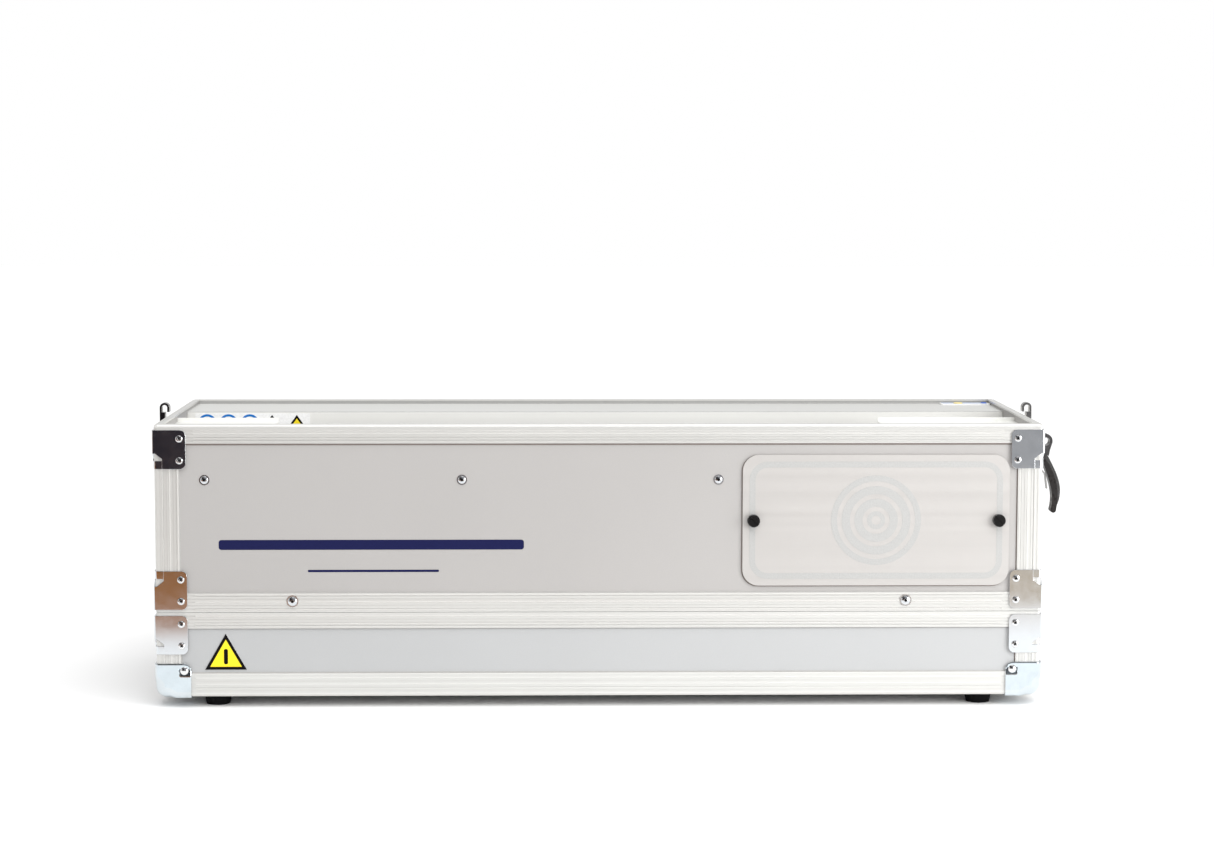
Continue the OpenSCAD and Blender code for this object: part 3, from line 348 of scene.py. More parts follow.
GREY = (0.402, 0.388, 0.378)
SILVER = (0.655, 0.65, 0.628)

look = {
    "panel_grey": laminate("panel_grey", GREY),
    "base_grey": laminate("base_grey", (0.432, 0.437, 0.440)),
    "rail_alu": anodised("rail_alu", SILVER, metal=0.35),
    "post_alu": anodised("post_alu", SILVER, metal=0.35, grain=UPRIGHT),
    "cap_zinc": plated("cap_zinc", (0.70, 0.755, 0.785), rough=0.06, wear=0.04, scuff=0.0006),
    "deck_alu": anodised("deck_alu", (0.84, 0.84, 0.81), rough=0.42, metal=0.1),
    # Painted shade and light: the rear deck darker than the other decks, and the sheet over its
    # channel wall brighter
    "rear_deck_painted_shade": anodised("rear_deck_painted_shade", (0.64, 0.64, 0.62), rough=0.42, metal=0.1),
    "channel_painted_light": anodised("channel_painted_light", (0.88, 0.875, 0.84), rough=0.42, metal=0.1),
    "cover_grey": anodised("cover_grey", (0.468, 0.450, 0.434), rough=0.45, metal=0.1),
    "brace_zinc": plated("brace_zinc", (0.76, 0.775, 0.79), rough=0.09, scuff=0.003),
    "rivet_zinc": plated("rivet_zinc", (0.84, 0.84, 0.84), rough=0.10),
    "screw_steel": plated("screw_steel", (0.72, 0.73, 0.75), rough=0.14),
    "latch_chrome": plated("latch_chrome", (0.30, 0.29, 0.28), rough=0.07),
    "rod_steel": plated("rod_steel", (0.78, 0.78, 0.80), rough=0.08),
    "spring_steel": plated("spring_steel", (0.55, 0.55, 0.55), rough=0.2),
    "lever_steel": plated("lever_steel", (0.15, 0.148, 0.15), rough=0.2, wear=0.1),
    "clamp_alu": machined("clamp_alu", (0.62, 0.62, 0.63)),
    "jaw_steel": machined("jaw_steel", (0.42, 0.43, 0.45), rough=0.22),
    "carriage_alu": machined("carriage_alu", (0.58, 0.59, 0.61)),
    "foot_rubber": rubber("foot_rubber", (0.004, 0.004, 0.0045)),
    "belt_rubber": rubber("belt_rubber", (0.02, 0.02, 0.02)),
    "handle_black": rubber("handle_black", (0.018, 0.018, 0.02)),
    "grip_black": moulded("grip_black", (0.016, 0.014, 0.0135), rough=0.3, gloss=0.3),
    "screw_black": moulded("screw_black", (0.004, 0.004, 0.0045), rough=0.2, gloss=0.4),
    "socket_black": moulded("socket_black", (0.015, 0.015, 0.016)),
    "motor_grey": painted("motor_grey", (0.06, 0.065, 0.07)),
    "rocker_red": moulded("rocker_red", (0.35, 0.015, 0.012), rough=0.25),
    "abrasive": abrasive("abrasive", (0.62, 0.36, 0.33)),
    "keypad_white": ink("keypad_white", (0.82, 0.82, 0.81)),
    "key_yellow": ink("key_yellow", (0.90, 0.74, 0.25)),
    "key_blue": ink("key_blue", (0.01, 0.10, 0.55)),
    "label_film": ink("label_film", (0.93, 0.93, 0.92), rough=0.35),
    "print_navy": ink("print_navy", (0.008, 0.010, 0.062), gloss=0.15),
    "print_grey": ink("print_grey", (0.41, 0.408, 0.40)),
    "print_blue": ink("print_blue", (0.002, 0.17, 0.56)),
    "print_yellow": ink("print_yellow", (0.93, 0.72, 0.02)),
    "print_black": ink("print_black", (0.004, 0.0035, 0.004), gloss=0.1),
    # Painted shade in the rivets' holes and the screws' sockets
    "painted_hole_shade": ink("painted_hole_shade", (0.004, 0.004, 0.004), rough=0.8),
    "rib_alu": anodised("rib_alu", shade(SILVER, 1.05), rough=0.3, metal=0.4),
    "post_rib_alu": anodised(
        "post_rib_alu", shade(SILVER, 1.05), rough=0.3, metal=0.4, grain=UPRIGHT
    ),
    # Painted highlight for the bar along the rim's edge
    "rim_highlight_alu": anodised("rim_highlight_alu", shade(SILVER, 1.35), rough=0.3, metal=0.2),
    # Painted shadow and shade for the strips along the rails, the cover's edge and the joints
    "painted_shadow_dark": ink("painted_shadow_dark", (0.20, 0.17, 0.155), rough=0.7),
    "painted_shadow_mid": ink("painted_shadow_mid", (0.34, 0.335, 0.33), rough=0.7),
    "painted_shade_pale": ink("painted_shade_pale", (0.42, 0.41, 0.40), rough=0.7),
    # Painted shade for the grey band inside the rear rim
    "rim_shade_grey": laminate("rim_shade_grey", (0.40, 0.40, 0.39)),
}


def paint(obj, key):
    obj.data.materials.clear()
    obj.data.materials.append(look[key])


slot_of = {s["node"]: s["material_slot"] for s in frame["record"]["subparts"]}
for name, obj in nodes.items():
    paint(obj, slot_of[name])
for name in ("base_front_panel", "base_rear_panel", "base_end_panels", "base_floor"):
    paint(nodes[name], "base_grey")
for name in ("base_corner_posts", "upper_corner_posts"):
    paint(nodes[name], "post_alu")
# The rear deck is painted darker than the other decks: painted shade
paint(nodes["rear_deck"], "rear_deck_painted_shade")
paint(nodes["lever_bracket"], "lever_steel")


# ---------------------------------------------------------------- softened copies of CAD nodes


SHARP = math.radians(35.0)
FLAT = math.radians(0.3)


def soften(name, width):
    """A copy of a CAD node with its sharp edges rounded, shown in the node's place"""
    mesh = bpy.data.meshes.new(name + "_soft")
    bm = bmesh.new()
    bm.from_mesh(nodes[name].data)
    bmesh.ops.remove_doubles(bm, verts=bm.verts, dist=1e-6)
    bmesh.ops.dissolve_limit(
        bm, angle_limit=FLAT, verts=bm.verts, edges=bm.edges, delimit=set()
    )
    for face in bm.faces:
        face.smooth = True
    bm.to_mesh(mesh)
    bm.free()
    piece = add_object(name + "_soft", mesh)
    bevel = piece.modifiers.new("round", "BEVEL")
    bevel.width = width * MM
    bevel.segments = 2
    bevel.limit_method = "ANGLE"
    bevel.angle_limit = SHARP
    bevel.use_clamp_overlap = True
    flat = piece.modifiers.new("flat", "WEIGHTED_NORMAL")
    flat.weight = 100
    flat.keep_sharp = False
    slot = slot_of[name]
    piece.data.materials.append(look[slot])
    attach(piece, nodes[name]["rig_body"])
    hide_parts(name)


# Width of each node's rounded edges
SOFT_EDGES = {
    "clamp_lever": 1.6,
    "lever_grip": 2.2,
    "latch_hook_left": 0.7,
    "latch_hook_right": 0.7,
    "latch_lever_left": 0.5,
    "latch_lever_right": 0.5,
    "carry_handle_left": 0.9,
    "carry_handle_right": 0.9,
    "thumb_screw_left": 0.5,
    "thumb_screw_right": 0.5,
    "access_cover": 0.6,
    "upper_corner_braces": 0.3,
    "base_corner_braces": 0.3,
}
for name, width in SOFT_EDGES.items():
    soften(name, width)


# ---------------------------------------------------------------- flat prints and small parts


def ring_points(cx, cz, r, count=64):
    return [
        (cx + r * math.cos(2 * math.pi * i / count), cz + r * math.sin(2 * math.pi * i / count))
        for i in range(count)
    ]


def round_rect(cx, cz, w, h, r, steps=8):
    points = []
    for sx, sz, start in ((1, 1, 0), (-1, 1, 90), (-1, -1, 180), (1, -1, 270)):
        for i in range(steps + 1):
            a = math.radians(start + 90 * i / steps)
            points.append(
                (cx + sx * (w / 2 - r) + r * math.cos(a), cz + sz * (h / 2 - r) + r * math.sin(a))
            )
    return points


def new_piece(name, bm, key, body):
    bmesh.ops.recalc_face_normals(bm, faces=bm.faces)
    mesh = bpy.data.meshes.new(name)
    bm.to_mesh(mesh)
    bm.free()
    piece = add_object(name, mesh)
    piece.data.materials.append(look[key])
    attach(piece, body)
    return piece


def add_slab(bm, outline, y, thick):
    """A filled outline in the XZ plane, its front face at y - thick and its back at y"""
    front = [bm.verts.new(at(x, y - thick, z)) for x, z in outline]
    back = [bm.verts.new(at(x, y, z)) for x, z in outline]
    bm.faces.new(front)
    bm.faces.new(list(reversed(back)))
    for i in range(len(outline)):
        j = (i + 1) % len(outline)
        bm.faces.new((front[i], back[i], back[j], front[j]))


def add_band(bm, outer, inner, y, thick):
    """The band between two outlines of as many points each"""
    loops = [
        [bm.verts.new(at(x, y - d, z)) for x, z in outline]
        for outline in (outer, inner)
        for d in (thick, 0)
    ]
    outer_front, outer_back, inner_front, inner_back = loops
    for i in range(len(outer)):
        j = (i + 1) % len(outer)
        bm.faces.new((outer_front[i], outer_front[j], inner_front[j], inner_front[i]))
        bm.faces.new((outer_back[i], inner_back[i], inner_back[j], outer_back[j]))
        bm.faces.new((outer_front[i], outer_back[i], outer_back[j], outer_front[j]))
        bm.faces.new((inner_front[i], inner_front[j], inner_back[j], inner_back[i]))


# How far a print stands out, and a thin one that has another beside or over it
PRINT, THIN_PRINT = 0.15, 0.1


def slabs(name, outlines, y, key, body, thick=PRINT):
    bm = bmesh.new()
    for outline in outlines:
        add_slab(bm, outline, y, thick)
    return new_piece(name, bm, key, body)


def bands(name, pairs, y, key, body, thick=PRINT):
    bm = bmesh.new()
    for outer, inner in pairs:
        add_band(bm, outer, inner, y, thick)
    return new_piece(name, bm, key, body)


# A plain bar and a thin line on the front, where the maker's marking was
MARK_X, MARK_W, MARK_Z, MARK_H, MARK_R = -251.0, 335.0, 181.0, 11.0, 3.0
LINE_X, LINE_W, LINE_Z, LINE_H, LINE_R = -249.0, 144.0, 152.0, 2.6, 1.0
slabs(
    "front_marking",
    [
        round_rect(MARK_X, MARK_Z, MARK_W, MARK_H, MARK_R),
        round_rect(LINE_X, LINE_Z, LINE_W, LINE_H, LINE_R),
    ],
    PANEL_Y,
    "print_navy",
    "case",
)

# Border line and plain rings on the hatch cover
COVER_X = ((COVER_LOW.x + COVER_HIGH.x) / 2 - CASE_X) / MM
COVER_Z = (COVER_LOW.z + COVER_HIGH.z) / 2 / MM
COVER_W = (COVER_HIGH.x - COVER_LOW.x) / MM
COVER_H = (COVER_HIGH.z - COVER_LOW.z) / MM
BORDER_INSET, BORDER_W, BORDER_R = 7.5, 6.5, 20.0
# Outer radius and width of each plain ring
COVER_RINGS = ((49.7, 6.5), (38.0, 9.0), (24.0, 9.0), (10.0, 5.0))
bands(
    "cover_border",
    [
        (
            round_rect(
                COVER_X, COVER_Z, COVER_W - 2 * BORDER_INSET, COVER_H - 2 * BORDER_INSET, BORDER_R
            ),
            round_rect(
                COVER_X,
                COVER_Z,
                COVER_W - 2 * (BORDER_INSET + BORDER_W),
                COVER_H - 2 * (BORDER_INSET + BORDER_W),
                BORDER_R - BORDER_W,
            ),
        )
    ]
    + [
        (ring_points(COVER_X, COVER_Z, r), ring_points(COVER_X, COVER_Z, r - w))
        for r, w in COVER_RINGS
    ],
    COVER_Y,
    "print_grey",
    "cover",
)

# Painted shadow: a dark band showing along the cover's left and lower edges
COVER_R = 18.0
SHADOW_SHIFT, SHADOW_OUT, SHADOW_IN, SHADOW_T = 0.7, 0.6, 4.0, 0.3
shadow_outlines = [
    round_rect(
        COVER_X - SHADOW_SHIFT,
        COVER_Z - SHADOW_SHIFT,
        COVER_W + 2 * out,
        COVER_H + 2 * out,
        COVER_R + out,
    )
    for out in (SHADOW_OUT, -SHADOW_IN)
]
bands("cover_painted_shadow", [shadow_outlines], PANEL_Y, "painted_shadow_dark", "case", thick=SHADOW_T)


def triangle(cx, z0, w, h, inset=0.0):
    """An upright triangle, drawn in by inset on every side"""
    side = math.hypot(w / 2, h)
    inner = w * h / (w + 2 * side)
    k = 1 - inset / inner
    cz = z0 + inner
    corners = [(cx - w / 2, z0), (cx + w / 2, z0), (cx, z0 + h)]
    return [(cx + (x - cx) * k, cz + (z - cz) * k) for x, z in corners]


# Black-edged triangle with a plain bar, on the base's front
TRI_X, TRI_Z, TRI_W, TRI_H = -411.9, 42.5, 46.0, 40.0
TRI_INSET, TRI_EDGE = 0.2, 3.2
TRI_BAR_Z, TRI_BAR_W, TRI_BAR_H, TRI_BAR_R = TRI_Z + 14.5, 4.4, 17.0, 2.0
LABEL_T = 0.4
paint(nodes["safety_labels"], "label_film")
slabs(
    "triangle_face",
    [triangle(TRI_X, TRI_Z, TRI_W, TRI_H, TRI_INSET)],
    PANEL_Y - LABEL_T,
    "print_yellow",
    "case",
    thick=THIN_PRINT,
)
bands(
    "triangle_edge",
    [(triangle(TRI_X, TRI_Z, TRI_W, TRI_H), triangle(TRI_X, TRI_Z, TRI_W, TRI_H, TRI_EDGE))],
    PANEL_Y - LABEL_T - THIN_PRINT,
    "print_black",
    "case",
)
slabs(
    "triangle_mark",
    [round_rect(TRI_X, TRI_BAR_Z, TRI_BAR_W, TRI_BAR_H, TRI_BAR_R)],
    PANEL_Y - LABEL_T - THIN_PRINT,
    "print_black",
    "case",
)

# Plain blue rings and small triangles on the strip in the channel
STRIP_Y = CHANNEL_Y - LABEL_T
STRIP_Z = 295.0
RING_XS = (-456.2, -431.3, -406.4)
RING_R, RING_HOLE = 11.0, 8.4
bands(
    "strip_rings",
    [(ring_points(x, STRIP_Z, RING_R), ring_points(x, STRIP_Z, RING_HOLE)) for x in RING_XS],
    STRIP_Y,
    "print_blue",
    "case",
)
# Middle, width and height of each small triangle
SMALL_TRIANGLES = ((-380.3, 24.0, 17.5), (-351.4, 27.0, 19.0))
SMALL_TOP = STRIP_Z + 10.2
SMALL_INSET, SMALL_EDGE = 0.6, 2.4
slabs(
    "strip_triangle_faces",
    [triangle(x, SMALL_TOP - h, w, h, SMALL_INSET) for x, w, h in SMALL_TRIANGLES],
    STRIP_Y,
    "print_yellow",
    "case",
    thick=THIN_PRINT,
)
bands(
    "strip_triangle_edges",
    [
        (triangle(x, SMALL_TOP - h, w, h), triangle(x, SMALL_TOP - h, w, h, SMALL_EDGE))
        for x, w, h in SMALL_TRIANGLES
    ],
    STRIP_Y - THIN_PRINT,
    "print_black",
    "case",
    thick=THIN_PRINT,
)


def facing(centre, normal):
    """The place whose upward axis leaves centre along normal"""
    turn = Vector((0, 0, 1)).rotation_difference(normal).to_matrix().to_4x4()
    return Matrix.Translation(centre) @ turn


def add_disc(bm, centre, normal, r, thick):
    """A thin disc standing on centre towards normal"""
    bmesh.ops.create_cone(
        bm,
        cap_ends=True,
        segments=20,
        radius1=r * MM,
        radius2=r * MM,
        depth=thick * MM,
        matrix=facing(centre + normal * thick * MM / 2, normal),
    )


# Pop rivets in the braces and domed rivets in the corner caps
BRACE_H = 43.0
BRACE_ZS = (60.0, SEAM_Z + 3.5, RIM_Z - 6.0 - BRACE_H)
BRACE_SEAT, CAP_SEAT = 2.0, 2.0
RIVET_X, RIVET_DZ = 28.0, 12.0
RIVET_R, RIVET_H, RIVET_HOLE = 4.0, 1.8, 1.2
RIVET_LIP, HOLE_SHADE_T = 0.6, 0.9
DOME_X, DOME_Z = 30.5, CASE_Z + 29.3
DOME_R, DOME_H, DOME_STEPS = 4.6, 2.2, 10


def on_corners(x, z, seat):
    """(place, outward normal) at x from each corner, on the front or rear and on the end"""
    for sx in (-1, 1):
        for sy in (-1, 1):
            yield at(sx * (HALF_W - x), sy * (HALF_D + seat), z), Vector((0, sy, 0))
            yield at(sx * (HALF_W + seat), sy * (HALF_D - x), z), Vector((sx, 0, 0))


def add_turned(bm, centre, normal, profile, count=28):
    """A closed profile of (radius, height) pairs turned round normal"""
    place = facing(centre, normal)
    rings = []
    for r, h in profile:
        if r == 0:
            rings.append([bm.verts.new(place @ Vector((0, 0, h * MM)))] * count)
            continue
        turns = [2 * math.pi * i / count for i in range(count)]
        spots = [(r * MM * math.cos(a), r * MM * math.sin(a), h * MM) for a in turns]
        rings.append([bm.verts.new(place @ Vector(spot)) for spot in spots])
    for low, high in zip(rings, rings[1:] + rings[:1]):
        for i in range(count):
            j = (i + 1) % count
            corners = dict.fromkeys((low[i], low[j], high[j], high[i]))
            if len(corners) > 2:
                bm.faces.new(tuple(corners)).smooth = True


quarter = [math.radians(a) for a in range(0, 91, 15)]
pop_head = [(RIVET_R - RIVET_H * (1 - math.cos(a)), RIVET_H * math.sin(a)) for a in quarter]
pop_head += [
    (RIVET_HOLE + RIVET_LIP, RIVET_H),
    (RIVET_HOLE, RIVET_H - RIVET_LIP),
    (RIVET_HOLE, 0.0),
]
dome_ball = (DOME_R**2 + DOME_H**2) / (2 * DOME_H)
dome_edge = math.asin(DOME_R / dome_ball)
dome_turns = [dome_edge * i / DOME_STEPS for i in range(DOME_STEPS, 0, -1)]
dome = [(dome_ball * math.sin(a), dome_ball * (math.cos(a) - 1) + DOME_H) for a in dome_turns]
dome += [(0, DOME_H), (0, 0.0)]

bm = bmesh.new()
# Dark discs in the rivets' holes: painted shade
hole_shades = bmesh.new()
for z in BRACE_ZS:
    for dz in (-RIVET_DZ, RIVET_DZ):
        for place, normal in on_corners(RIVET_X, z + BRACE_H / 2 + dz, BRACE_SEAT):
            add_turned(bm, place, normal, pop_head)
            add_disc(hole_shades, place, normal, RIVET_HOLE, HOLE_SHADE_T)
for place, normal in on_corners(DOME_X, DOME_Z, CAP_SEAT):
    add_turned(bm, place, normal, dome)
heads = new_piece("rivet_heads", bm, "rivet_zinc", "case")
heads.data.set_sharp_from_angle(angle=math.radians(40))
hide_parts("brace_rivets")
new_piece("rivet_painted_hole_shade", hole_shades, "painted_hole_shade", "case")

# Painted shade in the screws' sockets: dark discs at their bottoms
SCREW_XS = (-433.4, -151.4, 130.6)
REAR_SCREW_XS = SCREW_XS + (412.6,)
PANEL_SCREW_Z = 252.8
RAIL_SCREW_X, RAIL_SCREW_Z = 338.0, SEAM_Z + 12.8
SOCKET_R, SOCKET_T = 1.65, 1.3
bm = bmesh.new()
front = Vector((0, -1, 0))
for x in SCREW_XS:
    add_disc(bm, at(x, PANEL_Y, PANEL_SCREW_Z), front, SOCKET_R, SOCKET_T)
for s in (-1, 1):
    add_disc(bm, at(s * RAIL_SCREW_X, -HALF_D, RAIL_SCREW_Z), front, SOCKET_R, SOCKET_T)
    add_disc(bm, at(s * RAIL_SCREW_X, HALF_D, RAIL_SCREW_Z), -front, SOCKET_R, SOCKET_T)
for x in REAR_SCREW_XS:
    add_disc(bm, at(x, -PANEL_Y, PANEL_SCREW_Z), -front, SOCKET_R, SOCKET_T)
new_piece("screw_painted_socket_shade", bm, "painted_hole_shade", "case")

# Blue lines across the control panel, in front of and behind its keys
panel_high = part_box("control_panel")[1]
KEYPAD_Z = panel_high.z / MM
KEYPAD_X0, KEYPAD_X1, KEYPAD_LINE = 422.0, 476.0, 1.2
for name, y in (("keypad_line_front", 139.2), ("keypad_line_rear", 154.6)):
    bm = bmesh.new()
    low = at(KEYPAD_X0, y, KEYPAD_Z)
    high = at(KEYPAD_X1, y + KEYPAD_LINE, KEYPAD_Z + PRINT)
    matrix = Matrix.Translation((low + high) / 2) @ Matrix.Diagonal((*(high - low), 1.0))
    bmesh.ops.create_cube(bm, size=1.0, matrix=matrix)
    new_piece(name, bm, "print_blue", "case")


# ---------------------------------------------------------------- pressed corner caps

CAP = 2.0
CAP_SHEET = 1.6
CAP_W, CAP_H = 40.0, 39.0
CAP_TAB_R = 8.5
CAP_BALL_R, CAP_FOLD_R = 13.0, 5.5
# Between these distances from the corner the ball narrows to the folds
CAP_EASE_FROM, CAP_EASE = 14.0, 10.0
# Where the cap's grid lines run, measured in from its outer corner
CAP_ROUND = (0.0, 2.0, 4.0, 6.0, 8.0, 10.0, 11.5, 13.0, 15.0, 17.0, 19.5, 22.0)
CAP_ACROSS = CAP_ROUND + (24.4, 26.6, 27.2, 29.5, 31.5, 34.0, 36.5, 38.5, 40.0)
CAP_UP = CAP_ROUND + (24.4, 27.0, 29.0, 30.5, 33.0, 33.5, 35.5, 37.5, 39.0)
DENT_X, DENT_Z0, DENT_Z1, DENT = 27.0, 24.4, 33.0, 1.2


def round_tab(u, v, width, height):
    """Moves a point of a width by height tab so that the tab's far corner is round"""
    r = CAP_TAB_R
    s = max(0.0, (u - width + r) / r)
    t = max(0.0, (v - height + r) / r)
    if s == 0 or t == 0:
        return u, v
    return (
        width - r + r * s * math.sqrt(1 - t * t / 2),
        height - r + r * t * math.sqrt(1 - s * s / 2),
    )


def on_cap(a, b, c):
    """A point of a sharp-cornered cap, moved onto the ball and the rounded folds.

    a and b run in from the cap's outer corner along the front and the end, c runs up.
    """
    reach = min(1.0, max(0.0, (max(a, b, c) - CAP_EASE_FROM) / CAP_EASE))
    r = CAP_BALL_R + (CAP_FOLD_R - CAP_BALL_R) * reach * reach * (3 - 2 * reach)
    centre = Vector((max(a, r), max(b, r), max(c, r)))
    out = Vector((a, b, c)) - centre
    return centre + out.normalized() * r


def dent(u, v):
    """Depth of the pressed seat beside the cap's rivet"""
    if u < DENT_X or v > DENT_Z1:
        return 0.0
    return max(0.0, (v - DENT_Z0) / (DENT_Z1 - DENT_Z0)) * DENT


def cap_place(a, b, c, sx, sy):
    """Where a point of a sharp-cornered cap ends up in the frame"""
    if b == 0 and a > CAP_BALL_R and c > CAP_BALL_R:
        depth = dent(a, c)
        a, c = round_tab(a, c, CAP_W, CAP_H)
        a, b, c = a, depth, c
    elif a == 0 and b > CAP_BALL_R and c > CAP_BALL_R:
        depth = dent(b, c)
        b, c = round_tab(b, c, CAP_W, CAP_H)
        a, b, c = depth, b, c
    else:
        if c == 0:
            a, b = round_tab(a, b, CAP_W, CAP_W)
        a, b, c = on_cap(a, b, c)
    return at(sx * (HALF_W + CAP - a), sy * (HALF_D + CAP - b), CASE_Z - CAP + c)


def add_cap(bm, sx, sy):
    """One pressed corner cap: the front, end and bottom faces of its sheet"""
    corners = {}

    def corner(a, b, c):
        if (a, b, c) not in corners:
            corners[a, b, c] = bm.verts.new(cap_place(a, b, c, sx, sy))
        return corners[a, b, c]

    sides = (
        (CAP_ACROSS, CAP_UP, lambda u, v: (u, 0.0, v)),
        (CAP_ACROSS, CAP_UP, lambda u, v: (0.0, u, v)),
        (CAP_ACROSS, CAP_ACROSS, lambda u, v: (u, v, 0.0)),
    )
    faces = []
    for us, vs, spot in sides:
        for u0, u1 in zip(us, us[1:]):
            for v0, v1 in zip(vs, vs[1:]):
                ring = [corner(*spot(u, v)) for u, v in ((u0, v0), (u1, v0), (u1, v1), (u0, v1))]
                faces.append(bm.faces.new(ring))
    bmesh.ops.recalc_face_normals(bm, faces=faces)
    bm.normal_update()
    front_face = faces[len(CAP_UP) * 6]
    if front_face.normal.y * sy < 0:
        bmesh.ops.reverse_faces(bm, faces=faces)
    for face in faces:
        face.smooth = True


bm = bmesh.new()
for sx in (-1, 1):
    for sy in (-1, 1):
        add_cap(bm, sx, sy)
mesh = bpy.data.meshes.new("corner_caps")
bm.to_mesh(mesh)
bm.free()
mesh.set_sharp_from_angle(angle=math.radians(35))
caps = add_object("corner_caps", mesh)
thicken = caps.modifiers.new("sheet", "SOLIDIFY")
thicken.thickness = CAP_SHEET * MM
thicken.offset = -1.0
caps.data.materials.append(look["cap_zinc"])
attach(caps, nodes["ball_corners"]["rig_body"])
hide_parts("ball_corners")


# ---------------------------------------------------------------- ribs and strips of painted light and shade


def add_bar(bm, low, high, chamfer, axis):
    """A bar between two corners (millimetres); its long edges facing outward are chamfered.

    axis says which way is outward: (sign, "X") or (sign, "Y").
    """
    sign, way = axis
    x0, y0, z0 = low
    x1, y1, z1 = high
    (d0, d1), (a0, a1) = ((y0, y1), (x0, x1)) if way == "Y" else ((x0, x1), (y0, y1))
    out, back = (d1, d0) if sign > 0 else (d0, d1)
    upright = (z1 - z0) > (a1 - a0)
    across = (a0, a1) if upright else (z0, z1)
    along = (z0, z1) if upright else (a0, a1)

    def corner(a, u, depth):
        side, height = (u, a) if upright else (a, u)
        return at(side, depth, height) if way == "Y" else at(depth, side, height)

    section = [
        (across[0], back),
        (across[0], out - sign * chamfer),
        (across[0] + chamfer, out),
        (across[1] - chamfer, out),
        (across[1], out - sign * chamfer),
        (across[1], back),
    ]
    ends = [[bm.verts.new(corner(a, u, d)) for u, d in section] for a in along]
    for i in range(len(section)):
        j = (i + 1) % len(section)
        bm.faces.new((ends[0][i], ends[0][j], ends[1][j], ends[1][i]))
    bm.faces.new(ends[0])
    bm.faces.new(list(reversed(ends[1])))


RIB, RIB_W, RIB_CHAMFER = 0.4, 1.6, 0.3
# Heights of the ribs along each ring of rails
TOP_RIBS = (295.4, 298.6, 303.4, 306.6)
SEAM_RIBS = (109.4, 117.6, 125.6, 90.4, 93.4, 102.0)
BOTTOM_RIBS = (16.0, 21.5, 26.0, 33.0, 37.2)
# How far in from the corner the posts' ribs run
POST_RIBS = (8.6, 16.4, 25.2)
# Heights of the rails' outer legs, and the stretches of post that show between them
BOTTOM_RAIL, LOW_SEAM_RAIL, HIGH_SEAM_RAIL, RIM_RAIL = 26.0, 17.5, 21.5, 21.0
POST_SPANS = (
    (CASE_Z + BOTTOM_RAIL, SEAM_Z - LOW_SEAM_RAIL),
    (SEAM_Z + HIGH_SEAM_RAIL, RIM_Z - RIM_RAIL),
)
POST_W = 27.0


def around(bm, z0, z1, proud, half_x, half_y, in_x, in_y, chamfer):
    """A bar on all four sides of the case, standing proud of the faces at half_x, half_y.

    The bars reach in_x and in_y either side of the middle.
    """
    for s in (-1, 1):
        y = sorted((s * half_y, s * (half_y + proud)))
        add_bar(bm, (-in_x, y[0], z0), (in_x, y[1], z1), chamfer, (s, "Y"))
        x = sorted((s * half_x, s * (half_x + proud)))
        add_bar(bm, (x[0], -in_y, z0), (x[1], in_y, z1), chamfer, (s, "X"))


# The ribs stop short of the braces and the ball corners
RIB_END = 43.0
bm = bmesh.new()
for z in TOP_RIBS + SEAM_RIBS + BOTTOM_RIBS:
    around(
        bm,
        z - RIB_W / 2,
        z + RIB_W / 2,
        RIB,
        HALF_W,
        HALF_D,
        HALF_W - RIB_END,
        HALF_D - RIB_END,
        RIB_CHAMFER,
    )
new_piece("rail_ribs", bm, "rib_alu", "case")
bm = bmesh.new()
for sx in (-1, 1):
    for sy in (-1, 1):
        for u in POST_RIBS:
            for z0, z1 in POST_SPANS:
                x = sorted((sx * (HALF_W - u - RIB_W / 2), sx * (HALF_W - u + RIB_W / 2)))
                y = sorted((sy * HALF_D, sy * (HALF_D + RIB)))
                add_bar(bm, (x[0], y[0], z0), (x[1], y[1], z1), RIB_CHAMFER, (sy, "Y"))
                x = sorted((sx * HALF_W, sx * (HALF_W + RIB)))
                y = sorted((sy * (HALF_D - u - RIB_W / 2), sy * (HALF_D - u + RIB_W / 2)))
                add_bar(bm, (x[0], y[0], z0), (x[1], y[1], z1), RIB_CHAMFER, (sx, "X"))
new_piece("post_ribs", bm, "post_rib_alu", "case")

# Painted shadow: thin dark strips where the panels run in behind the rails, darkest under the rim
# rail: colour, lower and upper edges
PANEL_X = HALF_W - (PANEL_Y + HALF_D)
PAINTED_STRIP_PROUD, PAINTED_STRIP_CHAMFER = 0.35, 0.1
SHADOW_STRIPS = (
    ("painted_shadow_dark", [(RIM_Z - RIM_RAIL - 2.0, RIM_Z - RIM_RAIL)]),
    ("painted_shadow_mid", [(SEAM_Z - LOW_SEAM_RAIL - 1.3, SEAM_Z - LOW_SEAM_RAIL)]),
    (
        "painted_shade_pale",
        [
            (SEAM_Z + HIGH_SEAM_RAIL, SEAM_Z + HIGH_SEAM_RAIL + 1.1),
            (CASE_Z + BOTTOM_RAIL, CASE_Z + BOTTOM_RAIL + 1.3),
        ],
    ),
)
for key, spans in SHADOW_STRIPS:
    bm = bmesh.new()
    for z0, z1 in spans:
        around(
            bm,
            z0,
            z1,
            PAINTED_STRIP_PROUD,
            PANEL_X,
            -PANEL_Y,
            HALF_W - POST_W,
            HALF_D - POST_W,
            PAINTED_STRIP_CHAMFER,
        )
    new_piece(key + "_strips", bm, key, "case")

